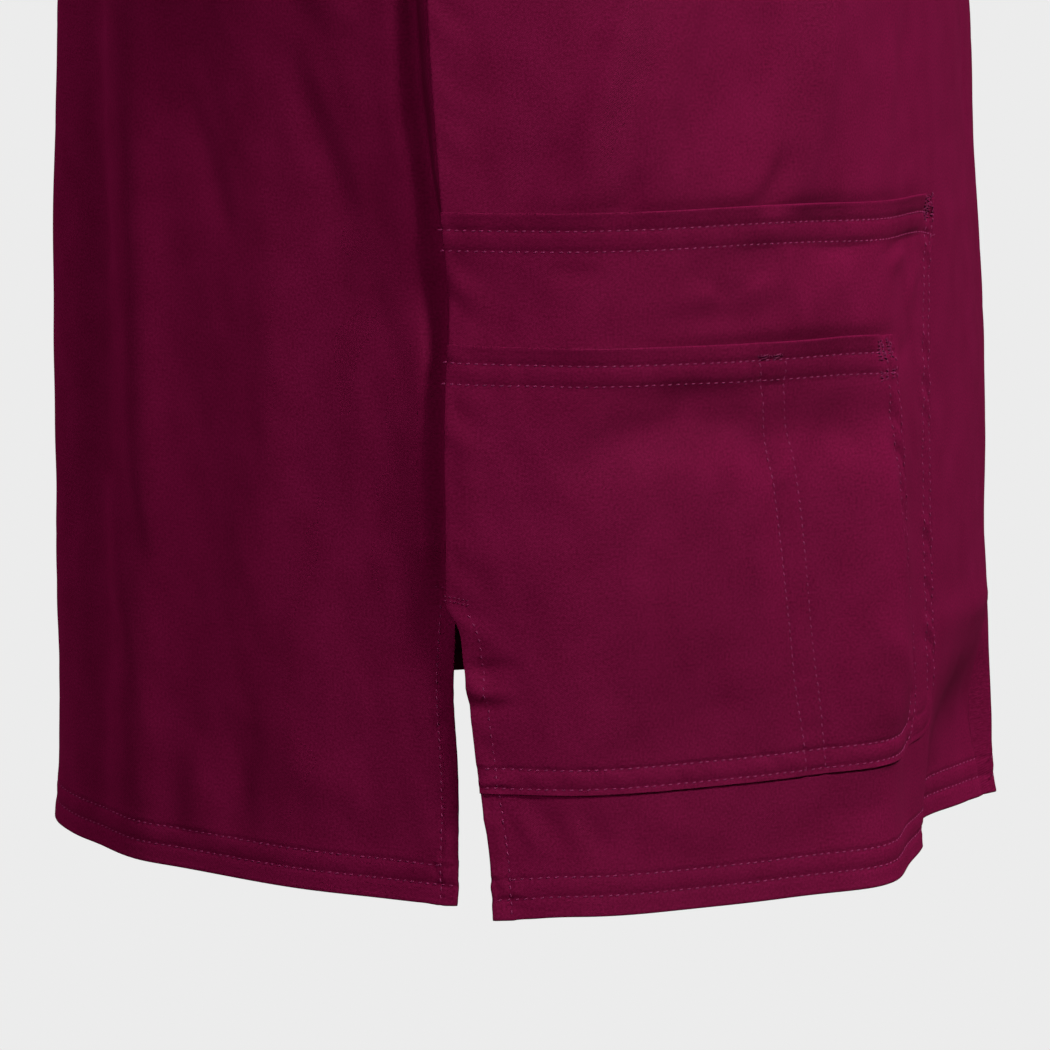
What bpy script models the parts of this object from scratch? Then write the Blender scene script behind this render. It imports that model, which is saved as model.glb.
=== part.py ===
"""Short-sleeved V-neck scrub top with side vents and a two-tier patch pocket.

The cloth is built as thin closed walls. Every wall is worked out from one
torso surface, made of horizontal sections that a short table sizes, and from
a table of the largest folds. Metres, +Z up, the front of the garment to -Y
and the wearer's left to +X. The origin lies midway between the two neck
points of the shoulder seams, where the garment hangs on its wearer.
"""

import math
from typing import NamedTuple

import bpy
import numpy as np

# Driving dimensions
HEM_HEIGHT = -0.720          # neck point of the shoulder seam down to the hem
UNDERARM_HEIGHT = -0.270
SHOULDER_TIP = (0.230, -0.045)   # half width and height of the shoulder seam's outer end
NECK_POINT = (0.100, 0.0)        # half width and height of its inner end
FRONT_NECK_DROP = 0.205
BACK_NECK_DROP = 0.020
VENT_TOP = 0.096             # above the hem
HEM_DEPTH = 0.020            # the folded hem
CLOTH = 0.0012               # one wall of cloth
FOLDED = 0.0020              # where the cloth is folded double
GAP = 0.0003                 # between neighbouring pieces
ARMHOLE_FORWARD = 0.062      # how far the armhole bows to the front and to the back
ARMHOLE_INWARD = 0.022       # how far it cuts in between underarm and shoulder
ARMHOLE_FALL = (4.0, 1.0)    # how fast its bow dies out inwards, at its ends and its middle
SLEEVE_ANGLE = math.radians(40.0)   # from the vertical
SLEEVE_TOP_LENGTH = 0.215
SLEEVE_UNDER_LENGTH = 0.110
SLEEVE_HALF_DEPTH = 0.055    # half the opening, front to back
BAND_HALF_WIDTH = 0.077      # neck opening inside the band, at the shoulder
BAND_RISE = 0.007
BAND_FRONT_DROP = 0.160
BAND_BACK_DEPTH = 0.044
BAND_BACK_RISE = 0.003
BAND_CLEARANCE = 0.0009      # along the V, which leaves the usual gap square to it
BAND_TUCK = 8                # higher brings the band's edge to the shoulder line later
NECK_BOW = 0.92              # 1 gives the V straight sides, less bows them outwards
BAND_BOW = 0.95              # the same for the opening inside the band
POCKET_BOTTOM = 0.040        # above the hem, as are the two heights below
POCKET_SMALL_TOP = 0.185
POCKET_LARGE_TOP = 0.228
POCKET_HEM = 0.022


class Section(NamedTuple):
    """One horizontal section of the torso: a front and a back half oval."""

    height: float
    half_width: float
    side_y: float        # where the section is widest
    front_depth: float   # from side_y to the centre front
    back_depth: float
    front_square: float  # 2 is an ellipse, more is squarer
    back_square: float


SECTIONS = (
    Section(-0.720, 0.197, -0.040, 0.1195, 0.209, 2.00, 2.55),
    Section(-0.600, 0.197, -0.040, 0.1135, 0.206, 2.00, 2.55),
    Section(-0.480, 0.196, -0.038, 0.1085, 0.203, 2.00, 2.50),
    Section(-0.380, 0.196, -0.026, 0.1150, 0.184, 2.00, 2.40),
    Section(-0.270, 0.197, 0.000, 0.130, 0.138, 2.00, 2.20),
    Section(-0.205, 0.197, 0.000, 0.124, 0.134, 1.80, 1.90),
    Section(-0.120, 0.200, 0.000, 0.100, 0.122, 1.60, 1.70),
    Section(-0.060, 0.215, 0.000, 0.072, 0.100, 1.60, 1.70),
    Section(-0.020, 0.230, 0.000, 0.040, 0.060, 1.80, 1.90),
    Section(0.000, 0.230, 0.000, 0.012, 0.020, 2.00, 2.00),
)


class Fold(NamedTuple):
    """A soft ridge (depth > 0) or trough that runs up the torso."""

    arc: float         # from the widest point, + to the front, at the hem
    arc_above: float   # the same at its upper end
    half_width: float
    depth: float
    fade_from: float   # full below this height above the hem
    fade_to: float     # gone above this one


RIGHT_FOLDS = (
    Fold(0.117, 0.125, 0.022, 0.0110, 0.060, 0.330),    # down the pocket's front edge
    Fold(0.203, 0.208, 0.033, -0.0145, 0.060, 0.125),   # in front of it
    Fold(0.046, 0.046, 0.030, -0.0045, 0.080, 0.250),   # across the pocket's middle
    Fold(-0.061, -0.066, 0.031, -0.0060, 0.200, 0.420),  # behind the side seam
    Fold(-0.128, -0.123, 0.051, -0.0100, 0.200, 0.420),
)
LEFT_FOLDS = (
    Fold(0.108, 0.116, 0.024, 0.0090, 0.070, 0.300),
    Fold(0.190, 0.184, 0.036, -0.0090, 0.050, 0.150),
    Fold(0.040, 0.036, 0.028, -0.0040, 0.060, 0.220),
    Fold(-0.055, -0.060, 0.035, -0.0060, 0.180, 0.400),
    Fold(-0.150, -0.140, 0.050, -0.0080, 0.220, 0.430),
)


class Line(NamedTuple):
    """A line up the panel: arc from the widest point at a height above the hem."""

    height: float
    arc: float


SIDE_SEAM = (
    Line(0.000, -0.0350),
    Line(0.045, -0.0350),
    Line(0.072, -0.0368),
    Line(0.096, -0.0362),
    Line(0.154, -0.0388),
    Line(0.211, -0.0393),
    Line(0.295, -0.0375),
    Line(0.380, -0.0220),
    Line(0.450, 0.0000),
)
VENT_FRONT = (
    Line(0.000, -0.0220),
    Line(0.020, -0.0237),
    Line(0.040, -0.0268),
    Line(0.062, -0.0297),
    Line(0.096, -0.0352),
)
POCKET_SMALL_FRONT = (
    Line(0.000, 0.1580),
    Line(0.040, 0.1560),
    Line(0.069, 0.1520),
    Line(0.100, 0.1450),
    Line(0.142, 0.1390),
    Line(0.185, 0.1345),
    Line(0.450, 0.1300),
)
POCKET_LARGE_FRONT = (
    Line(0.000, 0.1740),
    Line(0.040, 0.1740),
    Line(0.125, 0.1730),
    Line(0.198, 0.1790),
    Line(0.228, 0.1860),
    Line(0.450, 0.1900),
)

BODY_COLOUR = (0.108, 0.003, 0.028)

ROW_HEIGHTS = (0.0, 0.020, 0.040, 0.062, 0.080, 0.096, 0.112, 0.138, 0.163, 0.185, 0.206,
               0.228, 0.262, 0.300, 0.345, 0.395, 0.450)
COLUMNS_TO_SMALL_FRONT = 10
COLUMNS_TO_LARGE_FRONT = 3
COLUMNS_TO_CENTRE = 5
BACK_COLUMNS = 14
ARMHOLE_ROWS = 10
SHOULDER_HEIGHTS = (-0.034, -0.022, -0.012, -0.005, -0.0015)
BACK_NECK_PARTS = (0.0, 0.35, 0.60, 0.80, 0.92, 0.98, 0.997)   # of the neck's half width
SLEEVE_RINGS = 6
ARC_SAMPLES = 121
NORMAL_STEP = 0.002          # along the arc, to find the direction out of the cloth
CENTRE_CALM = 0.010          # the folds fade out within this arc of both centre lines
SHARP_EDGE = math.radians(40.0)


def eased(value, knots, values):
    """A smooth curve through (knots, values), read at one value."""
    value = min(max(value, knots[0]), knots[-1])
    slopes = np.gradient(values, knots)
    place = int(np.clip(np.searchsorted(knots, value, side="right") - 1, 0, len(knots) - 2))
    width = knots[place + 1] - knots[place]
    part = (value - knots[place]) / width
    square, cube = part * part, part ** 3
    return float((2 * cube - 3 * square + 1) * values[place]
                 + (cube - 2 * square + part) * width * slopes[place]
                 + (3 * square - 2 * cube) * values[place + 1]
                 + (cube - square) * width * slopes[place + 1])


def section_at(height):
    """The torso's section at any height, eased between the table's rows."""
    heights = [row.height for row in SECTIONS]
    sizes = [eased(height, heights, [row[column] for row in SECTIONS])
             for column in range(1, len(Section._fields))]
    return Section(height, *sizes)


def line_arc(lines, height):
    """Where a line up the panel lies at one height."""
    above_hem = height - HEM_HEIGHT
    return eased(above_hem, [row.height for row in lines], [row.arc for row in lines])


def fade(above_hem, start, end):
    """1 below start, 0 above end, eased between them."""
    part = min(max((above_hem - start) / (end - start), 0.0), 1.0)
    return 1.0 - part * part * (3.0 - 2.0 * part)


def fold_depth(arc, height, folds):
    """How far the folds move the cloth outwards at one place."""
    above_hem = height - HEM_HEIGHT
    depth = 0.0
    for fold in folds:
        rise = min(max(above_hem / fold.fade_to, 0.0), 1.0)
        middle = fold.arc + (fold.arc_above - fold.arc) * rise
        strength = fade(above_hem, fold.fade_from, fold.fade_to)
        depth += fold.depth * strength * math.exp(-((arc - middle) / fold.half_width) ** 2)
    return depth


class HalfSection:
    """One side of the torso at one height, measured by arc from its widest point."""

    def __init__(self, height, side):
        self.height = height
        self.side = side
        self.folds = RIGHT_FOLDS if side < 0 else LEFT_FOLDS
        row = section_at(height)
        angles = np.linspace(0.0, math.pi / 2, ARC_SAMPLES)
        halves = []
        for depth, square in ((row.front_depth, row.front_square), (row.back_depth, row.back_square)):
            across = row.half_width * np.cos(angles) ** (2.0 / square)
            along = depth * np.sin(angles) ** (2.0 / square)
            arc = np.concatenate([[0.0], np.cumsum(np.hypot(np.diff(across), np.diff(along)))])
            halves.append((arc, across, along))
        (front_arc, front_x, front_y), (back_arc, back_x, back_y) = halves
        self.front_end = float(front_arc[-1])
        self.back_end = -float(back_arc[-1])
        self.arcs = np.concatenate([-back_arc[::-1], front_arc[1:]])
        self.xs = np.concatenate([back_x[::-1], front_x[1:]])
        self.ys = row.side_y + np.concatenate([back_y[::-1], -front_y[1:]])

    def base(self, arc):
        """The smooth section's point, as if on the wearer's left."""
        return np.array([np.interp(arc, self.arcs, self.xs), np.interp(arc, self.arcs, self.ys)])

    def point(self, arc):
        """The point on the outer face, with the folds."""
        ahead = self.base(min(arc + NORMAL_STEP, self.front_end))
        behind = self.base(max(arc - NORMAL_STEP, self.back_end))
        run = (ahead - behind) / np.linalg.norm(ahead - behind)
        outward = np.array([-run[1], run[0]])
        to_centre = min(self.front_end - arc, arc - self.back_end)
        calm = min(max(to_centre / CENTRE_CALM, 0.0), 1.0)
        x, y = self.base(arc) + outward * fold_depth(arc, self.height, self.folds) * calm
        return (self.side * x, y, self.height)


def shoulder_line(height):
    """Half width of the shoulder seam at a height between its two ends."""
    part = (height - SHOULDER_TIP[1]) / (NECK_POINT[1] - SHOULDER_TIP[1])
    return SHOULDER_TIP[0] + (NECK_POINT[0] - SHOULDER_TIP[0]) * part


def panel_edge(height):
    """Half width, bow and roundness of the armhole, or of the shoulder seam above it."""
    if height >= SHOULDER_TIP[1]:
        return shoulder_line(height), 0.0, 0.0
    middle = (UNDERARM_HEIGHT + SHOULDER_TIP[1]) / 2
    half = (SHOULDER_TIP[1] - UNDERARM_HEIGHT) / 2
    across = math.sqrt(max(1.0 - ((height - middle) / half) ** 2, 0.0))
    part = (height - UNDERARM_HEIGHT) / (2 * half)
    start = section_at(UNDERARM_HEIGHT).half_width
    straight = start + (SHOULDER_TIP[0] - start) * part
    return straight - ARMHOLE_INWARD * across ** 2, ARMHOLE_FORWARD * across, across


def upper_point(height, turn, facing, side):
    """A point above the underarm; turn runs from 0 at the edge to 1 at the centre."""
    row = section_at(height)
    width, bow, roundness = panel_edge(height)
    depth, square = ((row.front_depth, row.front_square) if facing < 0
                     else (row.back_depth, row.back_square))
    angle = turn * math.pi / 2
    across = width * math.cos(angle) ** (2.0 / square)
    rise = math.sin(angle) ** (2.0 / square)
    fall = ARMHOLE_FALL[0] + (ARMHOLE_FALL[1] - ARMHOLE_FALL[0]) * roundness
    along = depth * rise + bow * (1.0 - rise) ** fall
    return (side * across, facing * (along + GAP / 2), height)


def neckline_half_width(height, facing):
    """Half width of the neckline's seam at a height, 0 below the neckline."""
    if facing < 0:
        part = 1.0 + height / FRONT_NECK_DROP
        return NECK_POINT[0] * max(part, 0.0) ** NECK_BOW
    part = min(-height / BACK_NECK_DROP, 1.0)
    return NECK_POINT[0] * math.sqrt(1.0 - part * part)


def neckline_turn(height, facing):
    """Where the neckline cuts the upper section, as a turn from 0 to 1."""
    row = section_at(height)
    square = row.front_square if facing < 0 else row.back_square
    width = panel_edge(height)[0]
    ratio = min(neckline_half_width(height, facing) / width, 1.0)
    return math.acos(ratio ** (square / 2.0)) / (math.pi / 2)


class Wall:
    """A sheet of outer points and faces that becomes one closed wall."""

    def __init__(self):
        self.points = []
        self.thickness = []
        self.seams = set()
        self.faces = []
        self.directions = None

    def add(self, point, thickness=CLOTH, seam=False):
        """Add an outer point; at a seam the wall is thickened square to Y."""
        self.points.append(point)
        self.thickness.append(thickness)
        if seam:
            self.seams.add(len(self.points) - 1)
        return len(self.points) - 1

    def cover(self, grid, closed=False):
        """Add the faces between the rows of a grid of point numbers."""
        for lower, upper in zip(grid, grid[1:]):
            count = len(lower)
            for column in range(count if closed else count - 1):
                ahead = (column + 1) % count
                self.faces.append((lower[column], lower[ahead], upper[ahead]))
                self.faces.append((lower[column], upper[ahead], upper[column]))

    def round_corner(self, rows):
        """Cut off the last point of a grid's first row."""
        corner = rows[0][-1]
        self.faces = [face for face in self.faces if corner not in face]

    def outward(self):
        """The direction out of the sheet at each point."""
        if self.directions is not None:
            return np.array(self.directions)
        points = np.array(self.points)
        total = np.zeros_like(points)
        for face in self.faces:
            first, second, third = (points[corner] for corner in face)
            total[list(face)] += np.cross(second - first, third - first)
        total[list(self.seams), 1] = 0.0
        return total / np.linalg.norm(total, axis=1)[:, None]

    def build(self, name, material):
        """Make the closed wall, with its outer face through the points."""
        outer = np.array(self.points)
        inner = outer - self.outward() * np.array(self.thickness)[:, None]
        used = sorted({corner for face in self.faces for corner in face})
        count = len(used)
        place_of = {corner: place for place, corner in enumerate(used)}
        sheet = [tuple(place_of[corner] for corner in face) for face in self.faces]
        faces = sheet + [tuple(corner + count for corner in reversed(face)) for face in sheet]
        edges = {(face[place - 1], face[place]) for face in sheet for place in range(len(face))}
        faces += [(end, start, start + count, end + count)
                  for start, end in sorted(edges) if (end, start) not in edges]
        mesh = bpy.data.meshes.new(name)
        mesh.from_pydata(np.vstack([outer[used], inner[used]]).tolist(), [], faces)
        mesh.materials.append(material)
        mesh.shade_smooth()
        mesh.set_sharp_from_angle(angle=SHARP_EDGE)
        piece = bpy.data.objects.new(name, mesh)
        bpy.context.scene.collection.objects.link(piece)
        return piece


def cloth_material(name, colour):
    """A matt woven cloth."""
    material = bpy.data.materials.new(name)
    material.use_nodes = True
    shader = material.node_tree.nodes["Principled BSDF"]
    shader.inputs["Base Color"].default_value = (*colour, 1.0)
    shader.inputs["Roughness"].default_value = 0.75
    shader.inputs["Metallic"].default_value = 0.0
    return material


def front_arcs(height, half):
    """Arc of every column of the front's half, from its side edge to the centre."""
    start = line_arc(SIDE_SEAM, height) + GAP / 2
    if height - HEM_HEIGHT < VENT_TOP:
        start = line_arc(VENT_FRONT, height)
    arcs = [start]
    stops = ((line_arc(POCKET_SMALL_FRONT, height), COLUMNS_TO_SMALL_FRONT),
             (line_arc(POCKET_LARGE_FRONT, height), COLUMNS_TO_LARGE_FRONT),
             (half.front_end, COLUMNS_TO_CENTRE))
    for end, count in stops:
        start = arcs[-1]
        arcs += [start + (end - start) * step / count for step in range(1, count + 1)]
    return arcs


def back_arcs(height, half):
    """Arc of every column of the back's half, from its side edge to the centre."""
    seam = line_arc(SIDE_SEAM, height) - GAP / 2
    return [seam + (half.back_end - seam) * step / BACK_COLUMNS for step in range(BACK_COLUMNS + 1)]


def armhole_heights():
    """Heights from underarm to shoulder tip, closest at the two ends."""
    middle = (UNDERARM_HEIGHT + SHOULDER_TIP[1]) / 2
    half = (SHOULDER_TIP[1] - UNDERARM_HEIGHT) / 2
    return [middle - half * math.cos(math.pi * step / ARMHOLE_ROWS)
            for step in range(ARMHOLE_ROWS + 1)]


def upper_heights(facing):
    """Heights of the rows above the underarm, and where the neckline begins."""
    heights = armhole_heights()[1:]
    if facing < 0:
        heights += SHOULDER_HEIGHTS
        split = -FRONT_NECK_DROP
        nearest = min(range(len(heights)), key=lambda place: abs(heights[place] - split))
        heights[nearest] = split
        return heights, split
    heights.append(SHOULDER_HEIGHTS[0])
    heights += [-BACK_NECK_DROP * math.sqrt(1.0 - part * part) for part in BACK_NECK_PARTS]
    return heights, -BACK_NECK_DROP


def turns_of_row(wall, row, facing):
    """The turns of the underarm row's own points, so that the columns run on."""
    section = section_at(UNDERARM_HEIGHT)
    square = section.front_square if facing < 0 else section.back_square
    turns = [math.acos(min(abs(wall.points[number][0]) / section.half_width, 1.0) ** (square / 2.0))
             / (math.pi / 2) for number in row]
    return [0.0] + turns[1:-1] + [1.0]


def panel_sheet(facing):
    """The front (facing -1) or the back (+1) as a sheet, and its two half grids."""
    wall = Wall()
    arcs_of = front_arcs if facing < 0 else back_arcs
    grids = {-1: [], 1: []}
    for above_hem in ROW_HEIGHTS:
        thickness = FOLDED if above_hem < HEM_DEPTH else CLOTH
        centre = None
        for side in (-1, 1):
            half = HalfSection(HEM_HEIGHT + above_hem, side)
            arcs = arcs_of(half.height, half)
            row = [wall.add(half.point(arc), thickness, seam=column == 0)
                   for column, arc in enumerate(arcs[:-1])]
            if centre is None:
                centre = wall.add(half.point(arcs[-1]), thickness)
            grids[side].append(row + [centre])
    heights, split = upper_heights(facing)
    turns = {side: turns_of_row(wall, grids[side][-1], facing) for side in (-1, 1)}
    for height in heights:
        open_neck = height > split
        end = neckline_turn(height, facing) if open_neck else 1.0
        centre = None
        for side in (-1, 1):
            row = [wall.add(upper_point(height, turn * end, facing, side), seam=column == 0)
                   for column, turn in enumerate(turns[side][:-1])]
            if open_neck or centre is None:
                centre = wall.add(upper_point(height, end, facing, side))
            grids[side].append(row + [centre])
    for side in (-1, 1):
        wall.cover(grids[side] if side == facing else [row[::-1] for row in grids[side]])
    return wall, grids


def pocket_sheet(panel, grid, last_column, top, lift):
    """A patch pocket made from the panel's own points, moved out."""
    pocket = Wall()
    pocket.directions = []
    directions = panel.outward()
    first_row = ROW_HEIGHTS.index(POCKET_BOTTOM)
    last_row = ROW_HEIGHTS.index(top)
    rows = []
    for number in range(first_row, last_row + 1):
        folded = ROW_HEIGHTS[number] > top - POCKET_HEM - GAP
        thickness = FOLDED if folded else CLOTH
        row = []
        for place in grid[number][:last_column + 1]:
            direction = directions[place]
            point = np.array(panel.points[place]) + direction * (lift + thickness)
            row.append(pocket.add(tuple(point), thickness))
            pocket.directions.append(direction)
        rows.append(row)
    pocket.cover(rows)
    pocket.round_corner(rows)
    return pocket


def sleeve_sheet(side):
    """A short sleeve: rings from the armhole to its open end."""
    wall = Wall()
    heights = armhole_heights()
    along = np.array([side * math.sin(SLEEVE_ANGLE), 0.0, -math.cos(SLEEVE_ANGLE)])
    top = np.array([side * SHOULDER_TIP[0], 0.0, SHOULDER_TIP[1]]) + along * SLEEVE_TOP_LENGTH
    under = (np.array([side * panel_edge(UNDERARM_HEIGHT)[0], 0.0, UNDERARM_HEIGHT])
             + along * SLEEVE_UNDER_LENGTH)
    rows = [[] for _ in range(SLEEVE_RINGS)]
    for place in range(2 * ARMHOLE_ROWS):
        step = place if place <= ARMHOLE_ROWS else 2 * ARMHOLE_ROWS - place
        facing = -1 if place <= ARMHOLE_ROWS else 1
        width, bow, _ = panel_edge(heights[step])
        start = np.array([side * width, facing * bow, heights[step]])
        turn = math.pi * step / ARMHOLE_ROWS
        end = (top + under) / 2 - (top - under) / 2 * math.cos(turn)
        end[1] = facing * SLEEVE_HALF_DEPTH * math.sin(turn)
        run = (end - start) / np.linalg.norm(end - start)
        start = start + run * 2 * GAP + np.array([side * 2 * GAP, 0.0, 0.0])
        for ring in range(SLEEVE_RINGS):
            part = ring / (SLEEVE_RINGS - 1)
            last = ring == SLEEVE_RINGS - 1
            rows[ring].append(wall.add(tuple(start + (end - start) * part), FOLDED if last else CLOTH))
    wall.cover(rows if side < 0 else [row[::-1] for row in rows], closed=True)
    return wall


def front_depth_at(across, height):
    """How far the front's face lies in front of the shoulder line, near the neck."""
    section = section_at(min(height, 0.0))
    ratio = min(across / panel_edge(min(height, 0.0))[0], 1.0)
    return section.front_depth * (1.0 - ratio ** section.front_square) ** (1.0 / section.front_square)


def neck_loops():
    """The neckband's two edges: along the neckline's seam, and round the opening."""
    seam, opening = [], []
    front_rows = [height for height in upper_heights(-1)[0] if height >= -FRONT_NECK_DROP]
    back_rows = [height for height in upper_heights(1)[0] if height >= -BACK_NECK_DROP]
    for side in (-1, 1):
        part_seam, part_opening = [], []
        for height in front_rows + [NECK_POINT[1]]:
            part_seam.append(upper_point(height, neckline_turn(height, -1), -1, side))
            part = 1.0 + height / FRONT_NECK_DROP
            across = BAND_HALF_WIDTH * part ** BAND_BOW
            rise = -BAND_FRONT_DROP + (BAND_FRONT_DROP + BAND_RISE) * part
            depth = front_depth_at(across, rise) * (1.0 - part ** BAND_TUCK)
            part_opening.append((side * across, -depth, rise))
        for height in reversed(back_rows):
            part_seam.append(upper_point(height, neckline_turn(height, 1), 1, side))
            part = -height / BACK_NECK_DROP
            part_opening.append((side * BAND_HALF_WIDTH * math.sqrt(1.0 - part * part),
                                 BAND_BACK_DEPTH * part,
                                 BAND_RISE + (BAND_BACK_RISE - BAND_RISE) * part))
        if side > 0:
            part_seam = part_seam[-2:0:-1]
            part_opening = part_opening[-2:0:-1]
        seam += part_seam
        opening += part_opening
    return np.array(seam), np.array(opening)


def neckband_sheet():
    """The band round the neckline, a strip between its two edges."""
    wall = Wall()
    seam, opening = neck_loops()
    run = (opening - seam) / np.linalg.norm(opening - seam, axis=1)[:, None]
    seam = seam + run * BAND_CLEARANCE
    rows = [[wall.add(tuple(point), FOLDED) for point in seam + (opening - seam) * part]
            for part in (0.0, 0.5, 1.0)]
    wall.cover([row[::-1] for row in rows], closed=True)
    return wall


def clear_scene():
    """Remove every object that the scene starts with."""
    for item in list(bpy.data.objects):
        bpy.data.objects.remove(item, do_unlink=True)


def main():
    """Cut the pieces and place them."""
    clear_scene()
    cloth = cloth_material("twill", BODY_COLOUR)
    front, front_grids = panel_sheet(-1)
    back, _ = panel_sheet(1)
    front.build("front", cloth)
    back.build("back", cloth)
    sleeve_sheet(-1).build("sleeve_right", cloth)
    sleeve_sheet(1).build("sleeve_left", cloth)
    neckband_sheet().build("neckband", cloth)
    right = front_grids[-1]
    large_edge = COLUMNS_TO_SMALL_FRONT + COLUMNS_TO_LARGE_FRONT
    pocket_sheet(front, right, large_edge, POCKET_LARGE_TOP, GAP).build("pocket_large", cloth)
    pocket_sheet(front, right, COLUMNS_TO_SMALL_FRONT, POCKET_SMALL_TOP,
                 2 * GAP + CLOTH).build("pocket_small", cloth)


main()
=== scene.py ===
"""Dressed model of a short-sleeved V-neck scrub top with side vents and a two-tier pocket.

Every piece of cloth is a thin closed shell on the torso's own form, with its creases, seams and
sewn rows worked into it. Lengths are metres, +Z is up, the garment's front faces -Y and the
wearer's left is +X. The tables of lines and creases are in millimetres.
"""

from __future__ import annotations

import logging
import math
from dataclasses import dataclass, field
from enum import Enum
from typing import Callable, NamedTuple, Sequence

import bmesh
import bpy
import numpy as np
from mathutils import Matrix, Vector


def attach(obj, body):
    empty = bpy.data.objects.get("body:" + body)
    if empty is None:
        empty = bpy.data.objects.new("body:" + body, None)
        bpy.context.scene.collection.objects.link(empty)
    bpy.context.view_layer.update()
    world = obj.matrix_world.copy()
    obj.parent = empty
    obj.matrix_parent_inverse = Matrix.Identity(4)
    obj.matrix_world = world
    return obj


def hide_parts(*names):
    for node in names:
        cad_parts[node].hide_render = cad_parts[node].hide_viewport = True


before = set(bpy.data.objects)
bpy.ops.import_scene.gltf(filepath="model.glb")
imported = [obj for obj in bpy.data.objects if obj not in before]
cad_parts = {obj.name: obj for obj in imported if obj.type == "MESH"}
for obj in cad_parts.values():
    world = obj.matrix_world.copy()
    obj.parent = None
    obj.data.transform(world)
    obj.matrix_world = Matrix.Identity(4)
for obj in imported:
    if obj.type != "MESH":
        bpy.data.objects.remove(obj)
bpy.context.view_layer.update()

LOG = logging.getLogger("scrub_top")
MM = 0.001
TURN = 2 * math.pi
QUARTER = math.pi / 2
CREASE_FADE = 0.8
Array = np.ndarray
Pair = tuple[float, float]
Stops = tuple[Pair, ...]
Triple = tuple[float, float, float]
SurfaceMap = Callable[[Array, Array], Array]
Model = tuple[Array, list[list[int]]]


class Side(Enum):
    """The wearer's two sides, with the sign of X."""

    RIGHT = -1
    LEFT = 1


class Facing(Enum):
    """The two body panels, with the sign of Y."""

    FRONT = -1
    BACK = 1


# --- curves and small helpers


def eased(value: Array | float, knots: Sequence[float], values: Sequence[float]) -> Array:
    """Read a smooth curve through given points.

    Args:
        value: Where to read it; outside the knots the end values hold.
        knots: Rising positions of the points.
        values: The curve's value at each knot.

    Returns:
        The curve's values.
    """
    knots, values = np.asarray(knots, float), np.asarray(values, float)
    value = np.clip(value, knots[0], knots[-1])
    slopes = np.gradient(values, knots)
    place = np.clip(np.searchsorted(knots, value, side="right") - 1, 0, len(knots) - 2)
    width = knots[place + 1] - knots[place]
    part = (value - knots[place]) / width
    square, cube = part**2, part**3
    return ((2 * cube - 3 * square + 1) * values[place]
            + (cube - 2 * square + part) * width * slopes[place]
            + (3 * square - 2 * cube) * values[place + 1]
            + (cube - square) * width * slopes[place + 1])


def step_up(value: Array | float, start: float, end: float) -> Array:
    """Rise softly from 0 at start to 1 at end."""
    part = np.clip((value - start) / (end - start), 0.0, 1.0)
    return part * part * (3.0 - 2.0 * part)


def step_down(value: Array | float, start: float, end: float) -> Array:
    """Fall softly from 1 at start to 0 at end."""
    return 1.0 - step_up(value, start, end)


def bell(distance: Array, half_width: float) -> Array:
    """A soft hump, 1 in its middle."""
    return np.exp(-(distance / half_width) ** 2)


def spaced(*stops: Pair) -> Array:
    """Places along a line at a spacing that changes on the way.

    Args:
        *stops: Pairs of a position and the spacing from there on, in millimetres.

    Returns:
        The places in metres.
    """
    places = [stops[0][0]]
    for (start, gap), (end, _) in zip(stops, stops[1:]):
        count = max(1, round((end - start) / gap))
        places += [start + (end - start) * (number + 1) / count for number in range(count)]
    return np.array(places) * MM


def unit(vectors: Array) -> Array:
    """Scale vectors to length 1."""
    return vectors / np.maximum(np.linalg.norm(vectors, axis=-1, keepdims=True), 1e-12)


def joined(*parts: Array | float) -> Array:
    """Join coordinates into points, on a new last axis."""
    return np.stack(np.broadcast_arrays(*parts), axis=-1)


def lengths_along(points: Array) -> Array:
    """Length of a line of points from its start to each point."""
    return np.concatenate([[0.0], np.cumsum(np.linalg.norm(np.diff(points, axis=0), axis=1))])


def read_line(at: Array, lengths: Array, points: Array) -> Array:
    """Points of a line at given lengths along it."""
    return np.stack([np.interp(at, lengths, column) for column in points.T], axis=-1)


# --- the torso's form


class Section(NamedTuple):
    """One horizontal section of the torso: a front and a back half oval."""

    height: float
    half_width: float
    side_y: float
    front_depth: float
    back_depth: float
    front_square: float
    back_square: float


class Fold(NamedTuple):
    """A broad ridge or trough that runs up the torso, as the cut of the cloth hangs."""

    arc: float
    arc_above: float
    half_width: float
    depth: float
    fade_from: float
    fade_to: float


class Line(NamedTuple):
    """A line up the panel: its height above the hem and its arc, in millimetres."""

    height: float
    arc: float


SECTIONS = (
    Section(-0.720, 0.197, -0.040, 0.1195, 0.209, 2.00, 2.55),
    Section(-0.600, 0.197, -0.040, 0.1135, 0.206, 2.00, 2.55),
    Section(-0.480, 0.196, -0.038, 0.1085, 0.203, 2.00, 2.50),
    Section(-0.380, 0.196, -0.026, 0.1150, 0.184, 2.00, 2.40),
    Section(-0.270, 0.197, 0.000, 0.130, 0.138, 2.00, 2.20),
    Section(-0.205, 0.197, 0.000, 0.124, 0.134, 1.80, 1.90),
    Section(-0.120, 0.200, 0.000, 0.100, 0.122, 1.60, 1.70),
    Section(-0.060, 0.215, 0.000, 0.072, 0.100, 1.60, 1.70),
    Section(-0.020, 0.230, 0.000, 0.040, 0.060, 1.80, 1.90),
    Section(0.000, 0.230, 0.000, 0.012, 0.020, 2.00, 2.00),
)
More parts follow.
